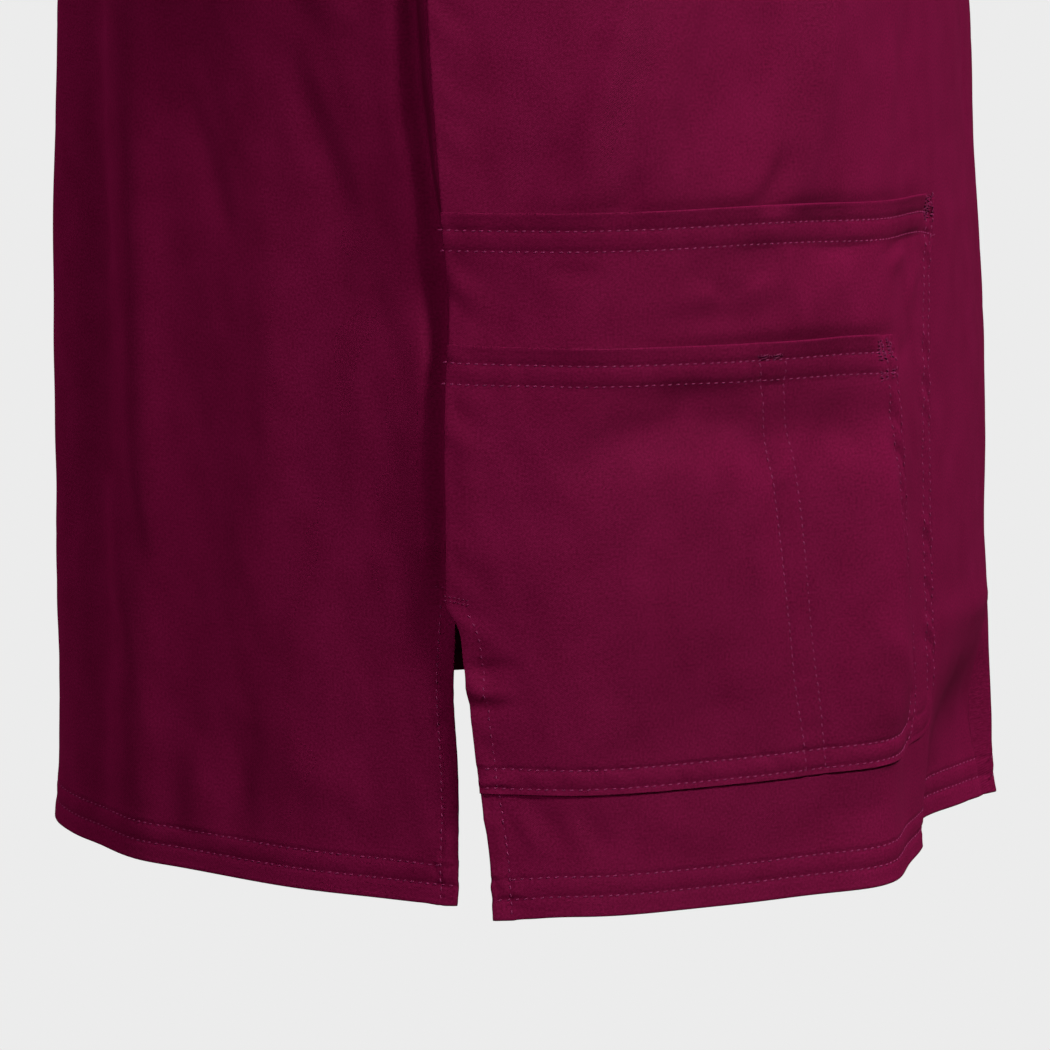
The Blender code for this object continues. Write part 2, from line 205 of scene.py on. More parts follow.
FOLDS = {
    Side.RIGHT: (
        Fold(0.117, 0.125, 0.022, 0.0110, 0.060, 0.330),
        Fold(0.203, 0.206, 0.033, -0.0185, -0.030, 0.072),
        Fold(0.046, 0.046, 0.030, -0.0045, 0.080, 0.250),
        Fold(-0.061, -0.066, 0.031, -0.0060, 0.200, 0.420),
        Fold(-0.128, -0.123, 0.051, -0.0100, 0.200, 0.420),
    ),
    Side.LEFT: (
        Fold(0.108, 0.116, 0.024, 0.0090, 0.070, 0.300),
        Fold(0.190, 0.184, 0.036, -0.0090, 0.050, 0.150),
        Fold(0.040, 0.036, 0.028, -0.0040, 0.060, 0.220),
        Fold(-0.055, -0.060, 0.035, -0.0060, 0.180, 0.400),
        Fold(-0.150, -0.140, 0.050, -0.0080, 0.220, 0.430),
    ),
}
SIDE_SEAM = (
    Line(0, -35.0), Line(45, -35.0), Line(72, -36.6), Line(96, -35.2), Line(120, -34.3), Line(154, -34.6),
    Line(211, -34.9), Line(295, -33.2), Line(380, -20.0), Line(450, 0.0),
)
VENT_FRONT = (
    Line(0, -19.8), Line(20, -21.3), Line(40, -24.2), Line(62, -26.8), Line(80, -29.4),
    Line(96, -32.0), Line(106, -40.0), Line(450, -300.0),
)
POCKET_SMALL_FRONT = (
    Line(0, 157.0), Line(40, 154.5), Line(69, 150.0), Line(100, 142.5), Line(142, 135.0),
    Line(185, 130.5), Line(450, 126.0),
)
POCKET_LARGE_FRONT = (
    Line(0, 174.0), Line(40, 174.0), Line(125, 173.0), Line(198, 179.0), Line(228, 186.0),
    Line(450, 190.0),
)


def line_arc(lines: Sequence[Line], above: Array | float) -> Array:
    """Arc of a line up the panel at a height above the hem."""
    return eased(above, [row.height * MM for row in lines], [row.arc * MM for row in lines])


@dataclass
class TorsoForm:
    """The form that the cloth hangs in, measured by arc from its widest point, + to the front."""

    hem_height: float = -0.720
    underarm_height: float = -0.270
    shoulder_tip: Pair = (0.230, -0.045)
    neck_point: Pair = (0.100, 0.0)
    front_neck_drop: float = 0.205
    back_neck_drop: float = 0.020
    neck_bow: float = 0.92
    gap: float = 0.0003
    armhole_forward: float = 0.062
    armhole_inward: float = 0.022
    armhole_fall: Pair = (4.0, 1.0)
    centre_calm: float = 0.010
    table_top: float = 0.4505
    arc_range: Pair = (-0.350, 0.275)
    arc_step: float = 0.001
    height_step: float = 0.003
    samples: int = 241
    tables: dict[Side, Array] = field(default_factory=dict)
    ends: dict[Facing, Array] = field(default_factory=dict)

    def __post_init__(self) -> None:
        """Work out the form of both sides below the underarm."""
        self.heights = np.arange(0.0, self.table_top + self.height_step, self.height_step)
        self.arcs = np.arange(self.arc_range[0], self.arc_range[1], self.arc_step)
        for side in Side:
            self.tables[side] = self.half_table(side)

    def sizes_at(self, height: Array) -> Array:
        """The section table's sizes at some heights, one row for each."""
        heights, *columns = zip(*SECTIONS)
        return np.stack([eased(height, heights, column) for column in columns], axis=-1)

    def depth_and_square(self, facing: Facing, height: Array) -> tuple[Array, Array]:
        """Depth and squareness of a panel's half oval at some heights."""
        sizes, column = self.sizes_at(height), 2 if facing is Facing.FRONT else 3
        return sizes[..., column], sizes[..., column + 2]

    def half_oval(self, width: float, depth: float, square: float) -> Array:
        """Draw a half oval.

        Args:
            width: Its half width.
            depth: Its depth.
            square: Its squareness, 2 for an ellipse.

        Returns:
            Points from the side to the centre: distance out, and depth.
        """
        angles = np.linspace(0.0, QUARTER, self.samples)
        across = width * np.cos(angles) ** (2.0 / square)
        across[-1] = 0.0
        return joined(across, depth * np.sin(angles) ** (2.0 / square))

    def half_table(self, side: Side) -> Array:
        """Work out one side's outer face on a fine table of heights and arcs.

        Args:
            side: The wearer's side.

        Returns:
            Distance out from the middle and Y, for every height and arc.
        """
        rows, fronts, backs = [], [], []
        sizes = self.sizes_at(self.heights + self.hem_height)
        for above, (width, side_y, front, back, front_square, back_square) in zip(self.heights, sizes):
            fore = self.half_oval(width, front, front_square)
            aft = self.half_oval(width, back, back_square)
            arcs = np.concatenate([-lengths_along(aft)[::-1], lengths_along(fore)[1:]])
            oval = np.concatenate([aft[::-1], fore[1:] * (1.0, -1.0)])
            first, last = arcs[0], arcs[-1]
            place = np.where(self.arcs > last, 2 * last - self.arcs, self.arcs)
            place = np.where(place < first, 2 * first - place, place)
            sign = np.where((self.arcs > last) | (self.arcs < first), -1.0, 1.0)
            plane = joined(sign, 1.0) * read_line(place, arcs, oval) + (0.0, side_y)
            run = unit(np.gradient(plane, axis=0))
            calm = np.clip(np.minimum(last - place, place - first) / self.centre_calm, 0.0, 1.0)
            depth = self.fold_depth(side, place, above) * calm
            rows.append(plane + joined(-run[:, 1], run[:, 0]) * depth[:, None])
            fronts.append(last)
            backs.append(first)
        self.ends = {Facing.FRONT: np.array(fronts), Facing.BACK: np.array(backs)}
        return np.array(rows)

    def fold_depth(self, side: Side, arc: Array, above: float) -> Array:
        """Work out how far the broad folds move the cloth outwards.

        Args:
            side: The wearer's side.
            arc: Arcs of the places.
            above: Their height above the hem.

        Returns:
            The move at each place.
        """
        total = np.zeros_like(arc)
        for fold in FOLDS[side]:
            rise = min(max(above / fold.fade_to, 0.0), 1.0)
            middle = fold.arc + (fold.arc_above - fold.arc) * rise
            strength = step_down(above, fold.fade_from, fold.fade_to)
            total += fold.depth * strength * bell(arc - middle, fold.half_width)
        return total

    def centre(self, facing: Facing, above: Array | float) -> Array:
        """Arc of the centre front or centre back at a height above the hem."""
        return np.interp(above, self.heights, self.ends[facing])

    def point(self, side: Side, arc: Array, above: Array) -> Array:
        """Find places on the smooth outer face below the underarm.

        Args:
            side: The wearer's side.
            arc: Arcs of the places.
            above: Their heights above the hem.

        Returns:
            Points, with the same shape as the arcs and one more axis.
        """
        table = self.tables[side]
        row = np.clip(above / self.height_step, 0.0, len(self.heights) - 1.001)
        column = np.clip((arc - self.arc_range[0]) / self.arc_step, 0.0, len(self.arcs) - 1.001)
        low, first = row.astype(int), column.astype(int)
        up, over = (row - low)[..., None], (column - first)[..., None]
        plane = ((table[low, first] * (1 - over) + table[low, first + 1] * over) * (1 - up)
                 + (table[low + 1, first] * (1 - over) + table[low + 1, first + 1] * over) * up)
        return joined(side.value * plane[..., 0], plane[..., 1], above + self.hem_height)

    def lifted(self, side: Side, arc: Array, above: Array, lift: Array) -> Array:
        """Find places a given distance out from the smooth face.

        Args:
            side: The wearer's side.
            arc: Arcs of the places.
            above: Their heights above the hem.
            lift: Their distances out from the face.

        Returns:
            Points, with the same shape as the arcs and one more axis.
        """
        reach = 2.0 * MM
        across = self.point(side, arc + reach, above) - self.point(side, arc - reach, above)
        upward = self.point(side, arc, above + reach) - self.point(side, arc, above - reach)
        outward = -side.value * unit(np.cross(across, upward))
        return self.point(side, arc, above) + outward * lift[..., None]

    def panel_edge(self, height: Array) -> tuple[Array, Array, Array]:
        """Find a panel's edge: the armhole, and the shoulder seam above it.

        Args:
            height: Heights of the places.

        Returns:
            The edge's distance from the middle, its bow to the front and its roundness.
        """
        tip_x, tip_z = self.shoulder_tip
        middle, half = (self.underarm_height + tip_z) / 2, (tip_z - self.underarm_height) / 2
        across = np.sqrt(np.maximum(1.0 - ((height - middle) / half) ** 2, 0.0))
        part = (height - self.underarm_height) / (2 * half)
        start = self.sizes_at(np.array(self.underarm_height))[0]
        armhole = start + (tip_x - start) * part - self.armhole_inward * across**2
        shoulder = tip_x + (self.neck_point[0] - tip_x) * (height - tip_z) / (self.neck_point[1] - tip_z)
        above = height >= tip_z
        return (np.where(above, shoulder, armhole), np.where(above, 0.0, self.armhole_forward * across),
                np.where(above, 0.0, across))

    def upper_point(self, facing: Facing, side: Side, height: Array, turn: Array) -> Array:
        """Find places on the smooth outer face above the underarm.

        Args:
            facing: The panel.
            side: The wearer's side.
            height: Heights of the places.
            turn: Where they lie from the edge, 0, to the centre, 1.

        Returns:
            Points, with one more axis.
        """
        depth, square = self.depth_and_square(facing, height)
        width, bow, roundness = self.panel_edge(height)
        across = width * np.maximum(np.cos(turn * QUARTER), 0.0) ** (2.0 / square)
        rise = np.sin(turn * QUARTER) ** (2.0 / square)
        fall = self.armhole_fall[0] + (self.armhole_fall[1] - self.armhole_fall[0]) * roundness
        along = depth * rise + bow * np.maximum(1.0 - rise, 0.0) ** fall
        return joined(side.value * across, facing.value * (along + self.gap / 2), height)

    def turn_at(self, facing: Facing, across: Array, width: Array, height: Array) -> Array:
        """Turn from the edge, 0, to the centre, 1, at a distance out from the middle."""
        square = self.depth_and_square(facing, height)[1]
        return np.arccos(np.minimum(across / width, 1.0) ** (square / 2.0)) / QUARTER

    def neckline_turn(self, facing: Facing, height: Array) -> Array:
        """Find where the neckline cuts the upper form.

        Args:
            facing: The panel.
            height: Heights of the places.

        Returns:
            Turns from the edge, 0, to the centre, 1.
        """
        if facing is Facing.FRONT:
            share = np.maximum(1.0 + height / self.front_neck_drop, 0.0) ** self.neck_bow
        else:
            share = np.sqrt(1.0 - np.clip(-height / self.back_neck_drop, 0.0, 1.0) ** 2)
        return self.turn_at(facing, self.neck_point[0] * share, self.panel_edge(height)[0], height)


# --- creases and puckers


class Crease(NamedTuple):
    """A soft ridge (depth > 0) or trough along a path on the cloth; a full start doesn't fade."""

    half_width: float
    depth: float
    path: Stops
    full_start: bool


def creases(*rows: tuple[float, ...], full_start: bool = False) -> tuple[Crease, ...]:
    """Make creases.

    Args:
        *rows: For each its half width, its depth, and the arcs and heights of its path in turn.
        full_start: Whether they are deepest where they start.

    Returns:
        The creases.
    """
    return tuple(Crease(row[0], row[1], tuple(zip(row[2::2], row[3::2])), full_start) for row in rows)


def crease_depth(marks: Sequence[Crease], arc: Array, above: Array) -> Array:
    """Work out how far creases move the cloth outwards.

    Args:
        marks: The creases.
        arc: Arcs of the places on the cloth.
        above: Their heights above the hem.

    Returns:
        The move at each place.
    """
    total = np.zeros(np.broadcast(arc, above).shape)
    for crease in marks:
        path = np.array(crease.path) * MM
        lengths = lengths_along(path)
        nearest, share = np.full(total.shape, np.inf), np.zeros(total.shape)
        for number, (start, run) in enumerate(zip(path, np.diff(path, axis=0))):
            part = np.clip(((arc - start[0]) * run[0] + (above - start[1]) * run[1]) / (run @ run), 0, 1)
            away = np.hypot(arc - start[0] - part * run[0], above - start[1] - part * run[1])
            here = (lengths[number] + part * (lengths[number + 1] - lengths[number])) / lengths[-1]
            share = np.where(away < nearest, here, share)
            nearest = np.minimum(away, nearest)
        ends = np.cos(share * QUARTER) if crease.full_start else np.sin(share * math.pi)
        fade = np.maximum(ends, 0.0) ** CREASE_FADE
        total += crease.depth * MM * bell(nearest, crease.half_width * MM) * fade
    return total


@dataclass(frozen=True)
class Pucker:
    """Small uneven ridges that a seam or a sewn row draws into the cloth."""

    depth: float
    pitch: float
    reach: float
    skew: float
    seed: int
    waves: int = 6
    lengths: Pair = (0.62, 1.75)
    slow_length: float = 6.3
    evened: float = 2.4
    slow_share: float = 0.28

    def wave(self, along: Array) -> Array:
        """An uneven wave along the row, about from -1 to 1.

        Args:
            along: Places along the row.

        Returns:
            The wave's height there.
        """
        chance = np.random.default_rng(self.seed)
        total = np.zeros(np.shape(along))
        for _ in range(self.waves):
            length = self.pitch * chance.uniform(*self.lengths)
            total += np.sin(TURN * along / length + chance.uniform(0.0, TURN))
        slow = np.sin(TURN * along / (self.pitch * self.slow_length) + chance.uniform(0.0, TURN))
        return total / self.evened * (1.0 - self.slow_share + self.slow_share * slow)

    def depth_at(self, along: Array, away: Array) -> Array:
        """How far the puckers move the cloth, by place along the row and distance from it."""
        return self.depth * self.wave(along + self.skew * np.abs(away)) * bell(away, self.reach)


@dataclass(frozen=True)
class Slub:
    """The slight unevenness that any hanging cloth has, as crossing waves."""

    depth: float
    length: float
    seed: int
    waves: int = 9
    lengths: Pair = (0.6, 1.7)
    spread: float = 0.55

    def depth_at(self, arc: Array, above: Array) -> Array:
        """How far the unevenness moves the cloth.

        Args:
            arc: Arcs of the places.
            above: Their heights above the hem.

        Returns:
            The move at each place.
        """
        chance = np.random.default_rng(self.seed)
        total = np.zeros(np.broadcast(arc, above).shape)
        for _ in range(self.waves):
            turn = chance.normal(0.0, self.spread)
            length = self.length * chance.uniform(*self.lengths)
            phase = chance.uniform(0.0, TURN)
            total += np.sin(TURN * (arc * math.cos(turn) + above * math.sin(turn)) / length + phase)
        return self.depth * total / math.sqrt(self.waves)


# Each row gives a crease's half width and depth, then the arcs and heights of its path in turn.

RIGHT_FRONT_CREASES = creases(
    (34, -2.5, 52, 240, 58, 290, 66, 470), (5.5, 3.3, 9, 230, 14, 258, 25, 284, 46, 330),
    (13, 1.8, 18, 226, 24, 258, 36, 284, 58, 335), (6, 3.8, 30, 228, 35, 258, 45, 282, 70, 340),
    (15, 2.2, 42, 224, 47, 258, 57, 282, 84, 340), (7.5, 5, 86, 224, 98, 260, 106, 290, 122, 350),
    (16, 2.6, 100, 224, 112, 260, 120, 290, 136, 350), (6, 1.6, 133, 228, 148, 264, 160, 292, 172, 340),
    (7, -1.4, 58, 232, 70, 262, 82, 300), (3.6, -2.2, -26, 228, 70, 226, 134, 222, 184, 219),
    (4, -3, 14, 184, 80, 182, 140, 179), (8, -2.4, 18, 193, 50, 194, 86, 190),
    (10, -5, 0, 143, 20, 155, 44, 162, 62, 158, 78, 140), (11, -3.4, 70, 158, 96, 154, 130, 150),
    (3.6, -1.7, -14, 228, -8, 240, 2, 254), (3.4, -1.7, 14, 226, 22, 232, 30, 242),
    (4.2, -2.4, 68, 227, 78, 233, 86, 246), (6, -0.7, 82, 22, 122, 28), (2.6, 0.9, -15, 36, -4, 19),
    (3, -1.3, -9, 40, 4, 19), (2.2, 0.6, 1, 38, 10, 20), (3.8, -1.6, 5, 36, 17, 18),
    (7, 1, 24, 34, 62, 22), (2.4, -1.5, -33, 80, -12, 82), (2.2, 1.2, -32, 74, -13, 73),
    (2.2, -1.3, -31, 68, -12, 69), (1.9, -1, -28, 45, -15, 47), (1.9, 1, -27, 32, -14, 30),
    (6, 1.2, 168, 76, 232, 72, 300, 70), (20, -4.4, 168, 40, 250, 36, 320, 34),
    (30, -4.8, 168, 16, 250, 12, 320, 10),
)
RIGHT_BACK_CREASES = creases(
    (24, -1.4, -95, -60, -95, 440), (12, 3, -164, -60, -167, 440), (13, -4, -192, -60, -194, 440),
    (13, 3, -230, -60, -230, 440), (7, 1.6, -190, 128, -180, 100, -168, 66),
    (6, -1.4, -180, 138, -164, 100), (7, 1.7, -142, 12, -138, 46), (7.5, -1.7, -124, 12, -118, 54),
    (10, 0.9, -92, 60, -84, 132), (7.5, 0.9, -62, 82, -60, 120), (11, 1.6, -110, 250, -103, 150, -122, 84),
    (7, -1.5, -94, 280, -84, 250, -72, 214), (8, 1.5, -82, 310, -66, 284), (8, -1.2, -136, 262, -128, 214),
    (9, 1, -68, 190, -72, 140), (8, 1, -104, 44, -60, 28),
)
LEFT_FRONT_CREASES = creases(
    (10, 1.6, -18, 196, 24, 250, 50, 330), (12, 1.4, 60, 120, 84, 200, 110, 300),
    (12, 1.2, 120, 60, 128, 150), (12, 1.2, 150, 200, 164, 330), (8, -1, -10, 60, 30, 30),
    (9, 1.1, 20, 150, 4, 90),
)
LEFT_BACK_CREASES = creases(
    (50, -6, -100, -60, -108, 470), (24, 3, -160, -60, -164, 440), (14, 1.8, -60, 260, -84, 150, -92, 60),
    (14, 1.6, -140, 300, -132, 160), (14, 1.4, -190, 240, -206, 90), (12, 1.2, -230, 180, -262, 320),
    (9, -1.1, -110, 60, -80, 22),
)
UPPER_FRONT_CREASES = creases(
    (11, 3, -12, 452, 30, 424, 74, 408), (10, 2.4, -8, 470, 34, 452, 86, 446),
    (12, 2.6, -14, 430, 14, 380, 30, 320),
    full_start=True,
) + creases(
    (16, 1.6, 60, 350, 92, 440, 120, 520), (14, 1.8, 20, 640, 60, 590, 110, 545),
    (14, 1.5, 150, 380, 176, 470),
)
UPPER_BACK_CREASES = creases(
    (12, 3, 8, 452, -42, 420, -90, 402), (11, 2.2, 4, 478, -50, 462, -104, 458),
    (13, 2.6, 0, 430, -50, 360, -60, 300),
    full_start=True,
) + creases(
    (16, 2, -120, 350, -140, 470), (16, 1.6, -190, 340, -200, 500),
    (14, 1.8, -30, 640, -90, 600, -160, 590),
)
LARGE_POCKET_CREASES = creases(
    (3.6, 2.2, -26, 228, 70, 226, 134, 222, 184, 219), (5, -1.9, -44, 207, -10, 206),
    (4.5, -1.2, -16, 208, -21, 190, -23, 168), (4, 1, -34, 198, -30, 184),
    (5, -2.6, 40, 208, 60, 208, 80, 212), (5, -1.3, 50, 203, 66, 202), (2.8, -0.9, -4, 210, 14, 209),
    (2.2, -0.8, 90, 211, 122, 211), (2.2, -0.9, 124, 207, 166, 209), (6, 1.1, 4, 195, 40, 198, 72, 205),
    (7, 1, 84, 194, 118, 204), (3.6, 0.9, 130, 201, 152, 207), (4, 0.9, 148, 184, 164, 202),
    (3, -1, 134, 172, 156, 176), (5, 0.8, 150, 160, 160, 120),
)
SMALL_POCKET_CREASES = creases(
    (4, 3, 14, 184, 80, 182, 140, 179), (3.4, -0.8, 6, 170, 40, 169, 86, 168), (27, 2.4, 34, 70, 42, 150),
    (16, 2.8, 124, 40, 124, 120, 124, 196), (6, 0.8, 76, 136, 88, 152, 100, 172),
    (10, -2.4, 92, 50, 90, 150), (6.5, -1.6, 18, 50, 42, 57, 66, 68), (10, 0.9, -14, 126, 6, 92),
    (4.5, 0.9, 106, 92, 134, 62), (5, 0.8, -28, 158, -30, 128), (14, 0.8, 10, 104, 56, 92),
)
BODY_CREASES = {
    (Facing.FRONT, Side.RIGHT): RIGHT_FRONT_CREASES + UPPER_FRONT_CREASES,
    (Facing.FRONT, Side.LEFT): LEFT_FRONT_CREASES + UPPER_FRONT_CREASES,
    (Facing.BACK, Side.RIGHT): RIGHT_BACK_CREASES + UPPER_BACK_CREASES,
    (Facing.BACK, Side.LEFT): LEFT_BACK_CREASES + UPPER_BACK_CREASES,
}


@dataclass
class BodyRelief:
    """What the hems, vents, seams and creases do to the two body panels."""

    form: TorsoForm
    hem_rows: Pair = (6.2 * MM, 12.7 * MM)
    hem_fold: float = 14.0 * MM
    hem_edge: Pair = (12.8 * MM, 16.6 * MM)
    hem_middle: float = 10.0 * MM
    hem_flare: Pair = (0.8 * MM, 3.6 * MM)
    fold_rise: float = 0.34 * MM
    groove: Pair = (0.42 * MM, 1.15 * MM)
    vent_top: float = 96.0 * MM
    vent_row: float = 5.6 * MM
    vent_edge: Pair = (6.1 * MM, 7.5 * MM)
    vent_end: Pair = (94.0 * MM, 99.0 * MM)
    vent_curl: Pair = (1.8 * MM, 6.0 * MM)
    closing: Pair = (82.0 * MM, 122.0 * MM)
    lap_sink: float = 1.30 * MM
    lap_edge: Pair = (-0.3 * MM, 1.1 * MM)
    seam_rise: float = 7.5 * MM
    open_share: float = 0.65
    front_roll: float = 26.0 * MM
    back_roll: float = 11.0 * MM
    held_down: Triple = (0.55, 196.0 * MM, 22.0 * MM)
    valley: float = 6.5 * MM
    valley_width: Pair = (4.8 * MM, 0.6 * MM)
    valley_inset: Pair = (4.0 * MM, 5.0 * MM)
    valley_shift: Pair = (0.195, 0.270)
    valley_waves: Pair = (0.141, 0.063)
    seam_end: Pair = (0.400, 0.450)
    row_shift: Pair = (0.4, 0.2)
    slub_shift: Triple = (0.31, 0.77, 0.1)
    slub_calm: Pair = (20.0 * MM, 30.0 * MM)
    pucker_calm: float = 3.0 * MM
    hem_pucker: Pucker = Pucker(0.17 * MM, 6.0 * MM, 4.5 * MM, 0.6, 11)
    vent_pucker: Pucker = Pucker(0.24 * MM, 5.6 * MM, 6.0 * MM, 0.35, 12)
    front_seam_pucker: Pucker = Pucker(0.70 * MM, 17.0 * MM, 10.0 * MM, 0.6, 13)
    back_seam_pucker: Pucker = Pucker(0.35 * MM, 22.0 * MM, 14.0 * MM, 0.3, 14)
    slubs: tuple[Slub, Slub] = (Slub(0.40 * MM, 58.0 * MM, 5), Slub(0.12 * MM, 17.0 * MM, 6))

    def front_edge(self, above: Array) -> Array:
        """Arc of the front's side edge, from the vent up the side seam."""
        return np.maximum(line_arc(SIDE_SEAM, above) + self.form.gap / 2, line_arc(VENT_FRONT, above))

    def back_edge(self, above: Array) -> Array:
        """Arc of the back's side edge."""
        return line_arc(SIDE_SEAM, above) - self.form.gap / 2

    def sewn_grooves(self, distance: Array, *rows: float) -> Array:
        """Narrow grooves that sewn rows press into the cloth."""
        return -self.groove[0] * sum(bell(distance - row, self.groove[1]) for row in rows)

    def seam_crest(self, facing: Facing, side: Side, inset: Array, above: Array) -> Array:
        """Let the cloth rise at the side seam, dip beside it and curl at the vent.

        Args:
            facing: The panel.
            side: The wearer's side.
            inset: Distances in from the side edge.
            above: Heights above the hem.

        Returns:
            The move outwards at each place.
        """
        closed = step_up(above, *self.closing)
        inset = np.maximum(inset, 0.0)
        share, held_at, held_width = self.held_down
        rise = self.seam_rise * (1.0 - share * bell(above - held_at, held_width))
        if facing is Facing.FRONT:
            share = self.open_share + (1.0 - self.open_share) * closed
            return rise * share * np.exp(-inset / self.front_roll)
        first, second = self.valley_waves
        wander = np.sin(above * TURN / first + side.value) + np.sin(above * TURN / second)
        middle = self.valley_inset[0] + self.valley_inset[1] * step_up(above, *self.valley_shift)
        dip = self.valley * bell(inset - middle, self.valley_width[0] + self.valley_width[1] * wander)
        curl = self.vent_curl[0] * np.exp(-inset / self.vent_curl[1])
        return (rise * np.exp(-inset / self.back_roll) - dip) * closed - curl * (1.0 - closed)

    def depth_at(self, facing: Facing, side: Side, arc: Array, above: Array) -> Array:
        """Work out how far the cloth of a body panel stands out from the smooth form.

        Args:
            facing: The panel.
            side: The wearer's side.
            arc: Arcs of the places.
            above: Their heights above the hem.

        Returns:
            The distance outwards at each place.
        """
        front = facing is Facing.FRONT
        inset = arc - self.front_edge(above) if front else self.back_edge(above) - arc
        vent_zone = step_down(above, *self.vent_end)
        total = crease_depth(BODY_CREASES[facing, side], arc, above)
        calm = step_up(inset, 0.0, self.slub_calm[0]) * step_up(above, 0.0, self.slub_calm[1])
        left_shift, front_shift, layer_shift = self.slub_shift
        shifted = arc + left_shift * (side is Side.LEFT) + front_shift * front
        for number, slub in enumerate(self.slubs):
            total = total + slub.depth_at(shifted, above + layer_shift * number) * calm
        total += self.fold_rise * step_down(above, *self.hem_edge)
        total += self.hem_flare[0] * np.exp(-above / self.hem_flare[1])
        total += self.sewn_grooves(above, *self.hem_rows)
        shift = side.value * self.row_shift[0] + facing.value * self.row_shift[1]
        total += self.hem_pucker.depth_at(arc + shift, above - self.hem_middle)
        vent = self.fold_rise * step_down(inset, *self.vent_edge) + self.sewn_grooves(inset, self.vent_row)
        total += (vent + self.vent_pucker.depth_at(above + shift, inset - self.vent_row)) * vent_zone
        pucker = self.front_seam_pucker if front else self.back_seam_pucker
        seam = self.seam_crest(facing, side, inset, above)
        seam += pucker.depth_at(above + shift, inset) * step_up(inset, 0.0, self.pucker_calm)
        if not front:
            seam -= self.lap_sink * step_down(inset, *self.lap_edge) * (1.0 - vent_zone)
        return total + seam * step_down(above, *self.seam_end)


# --- finishes


class MaterialBoard:
    """A new material, with what sets and links its nodes."""

    def __init__(self, name: str) -> None:
        """Start a material with its shader alone.

        Args:
            name: The material's name.
        """
        self.material = bpy.data.materials.new(name)
        self.material.use_nodes = True
        self.tree = self.material.node_tree
        self.shader = self.tree.nodes["Principled BSDF"]

    def wire(self, node: bpy.types.Node, sockets: dict[str | int, object]) -> None:
        """Set or link a node's inputs.

        Args:
            node: The node.
            sockets: For each input a number or colour to set, or the output that feeds it.
        """
        for key, value in sockets.items():
            if isinstance(value, bpy.types.NodeSocket):
                self.tree.links.new(value, node.inputs[key])
            else:
                node.inputs[key].default_value = value

    def add(self, kind: str, output: str, sockets: dict[str | int, object],
            **settings: str) -> bpy.types.NodeSocket:
        """Add a node.

        Args:
            kind: Its type, without the word that all types start with.
            output: The name of the output that is used.
            sockets: Its inputs.
            **settings: Its other settings.

        Returns:
            The output.
        """
        node = self.tree.nodes.new(f"ShaderNode{kind}")
        for name, value in settings.items():
            setattr(node, name, value)
        self.wire(node, sockets)
        return node.outputs[output]


@dataclass(frozen=True)
class TwillFinish:
    """A fine matt twill of cotton and polyester, its yarns a little uneven in tone."""

    name: str = "twill_wine"
    colour: Triple = (0.144, 0.0034, 0.0358)
    shade: Triple = (0.084, 0.0006, 0.0175)
    roughness: float = 0.85
    specular: float = 0.10
    weave_pitch: float = 0.52 * MM
    weave_turn: float = math.radians(52.0)
    weave_depth: float = 0.10 * MM
    weave_strength: float = 0.55
    yarn_size: float = 0.8 * MM
    yarn_relief: float = 0.8
    cloud_size: float = 14.0 * MM
    cloud_share: float = 0.3
    tone_range: Pair = (0.42, 0.88)

    def material(self) -> bpy.types.Material:
        """Build the cloth's material.

        Returns:
            The material.
        """
        board = MaterialBoard(self.name)
        flat = board.add("UVMap", "UV", {}, uv_map="cloth")
        turned = board.add("Mapping", "Vector", {"Vector": flat, "Rotation": (0.0, 0.0, self.weave_turn)})
        ribs = board.add("TexWave", "Fac", {"Vector": turned, "Scale": TURN / (20.0 * self.weave_pitch),
                                            "Distortion": 0.6, "Detail": 1.0})
        yarn, cloud = (board.add("TexNoise", "Fac", {"Vector": flat, "Scale": 1.0 / size, "Detail": 3.0})
                       for size in (self.yarn_size, self.cloud_size))
        grain = board.add("Math", "Value", {0: cloud, 1: self.cloud_share, 2: yarn}, operation="MULTIPLY_ADD")
        tone = board.add("MapRange", "Result", {"Value": grain, "From Min": self.tone_range[0],
                                                "From Max": self.tone_range[1]})
        dark, pale = (*self.shade, 1.0), (*self.colour, 1.0)
        colour = board.add("Mix", "Result", {"Factor": tone, "A": dark, "B": pale}, data_type="RGBA")
        relief = board.add("Math", "Value", {0: yarn, 1: self.yarn_relief, 2: ribs}, operation="MULTIPLY_ADD")
        bump = board.add("Bump", "Normal", {"Height": relief, "Strength": self.weave_strength,
                                            "Distance": self.weave_depth})
        board.wire(board.shader, {"Base Color": colour, "Normal": bump, "Roughness": self.roughness,
                                  "Specular IOR Level": self.specular})
        return board.material


@dataclass(frozen=True)
class ThreadFinish:
    """Polyester sewing thread: smoother and paler than the cloth it lies on. The bartacks' darker copy is
    painted shade.
    """

    name: str = "thread_wine"
    colour: Triple = (0.185, 0.016, 0.070)
    tones: Pair = (0.65, 1.30)
    tone_size: float = 3.0 * MM
    roughness: float = 0.55
    specular: float = 0.22

    def material(self) -> bpy.types.Material:
        """Build the thread's material.

        Returns:
            The material.
        """
        board = MaterialBoard(self.name)
        place = board.add("TexCoord", "Object", {})
        tone = board.add("TexNoise", "Fac", {"Vector": place, "Scale": 1.0 / self.tone_size})
        dark, pale = ((*(part * share for part in self.colour), 1.0) for share in self.tones)
        colour = board.add("Mix", "Result", {"Factor": tone, "A": dark, "B": pale}, data_type="RGBA")
        board.wire(board.shader, {"Base Color": colour, "Roughness": self.roughness,
                                  "Specular IOR Level": self.specular})
        return board.material


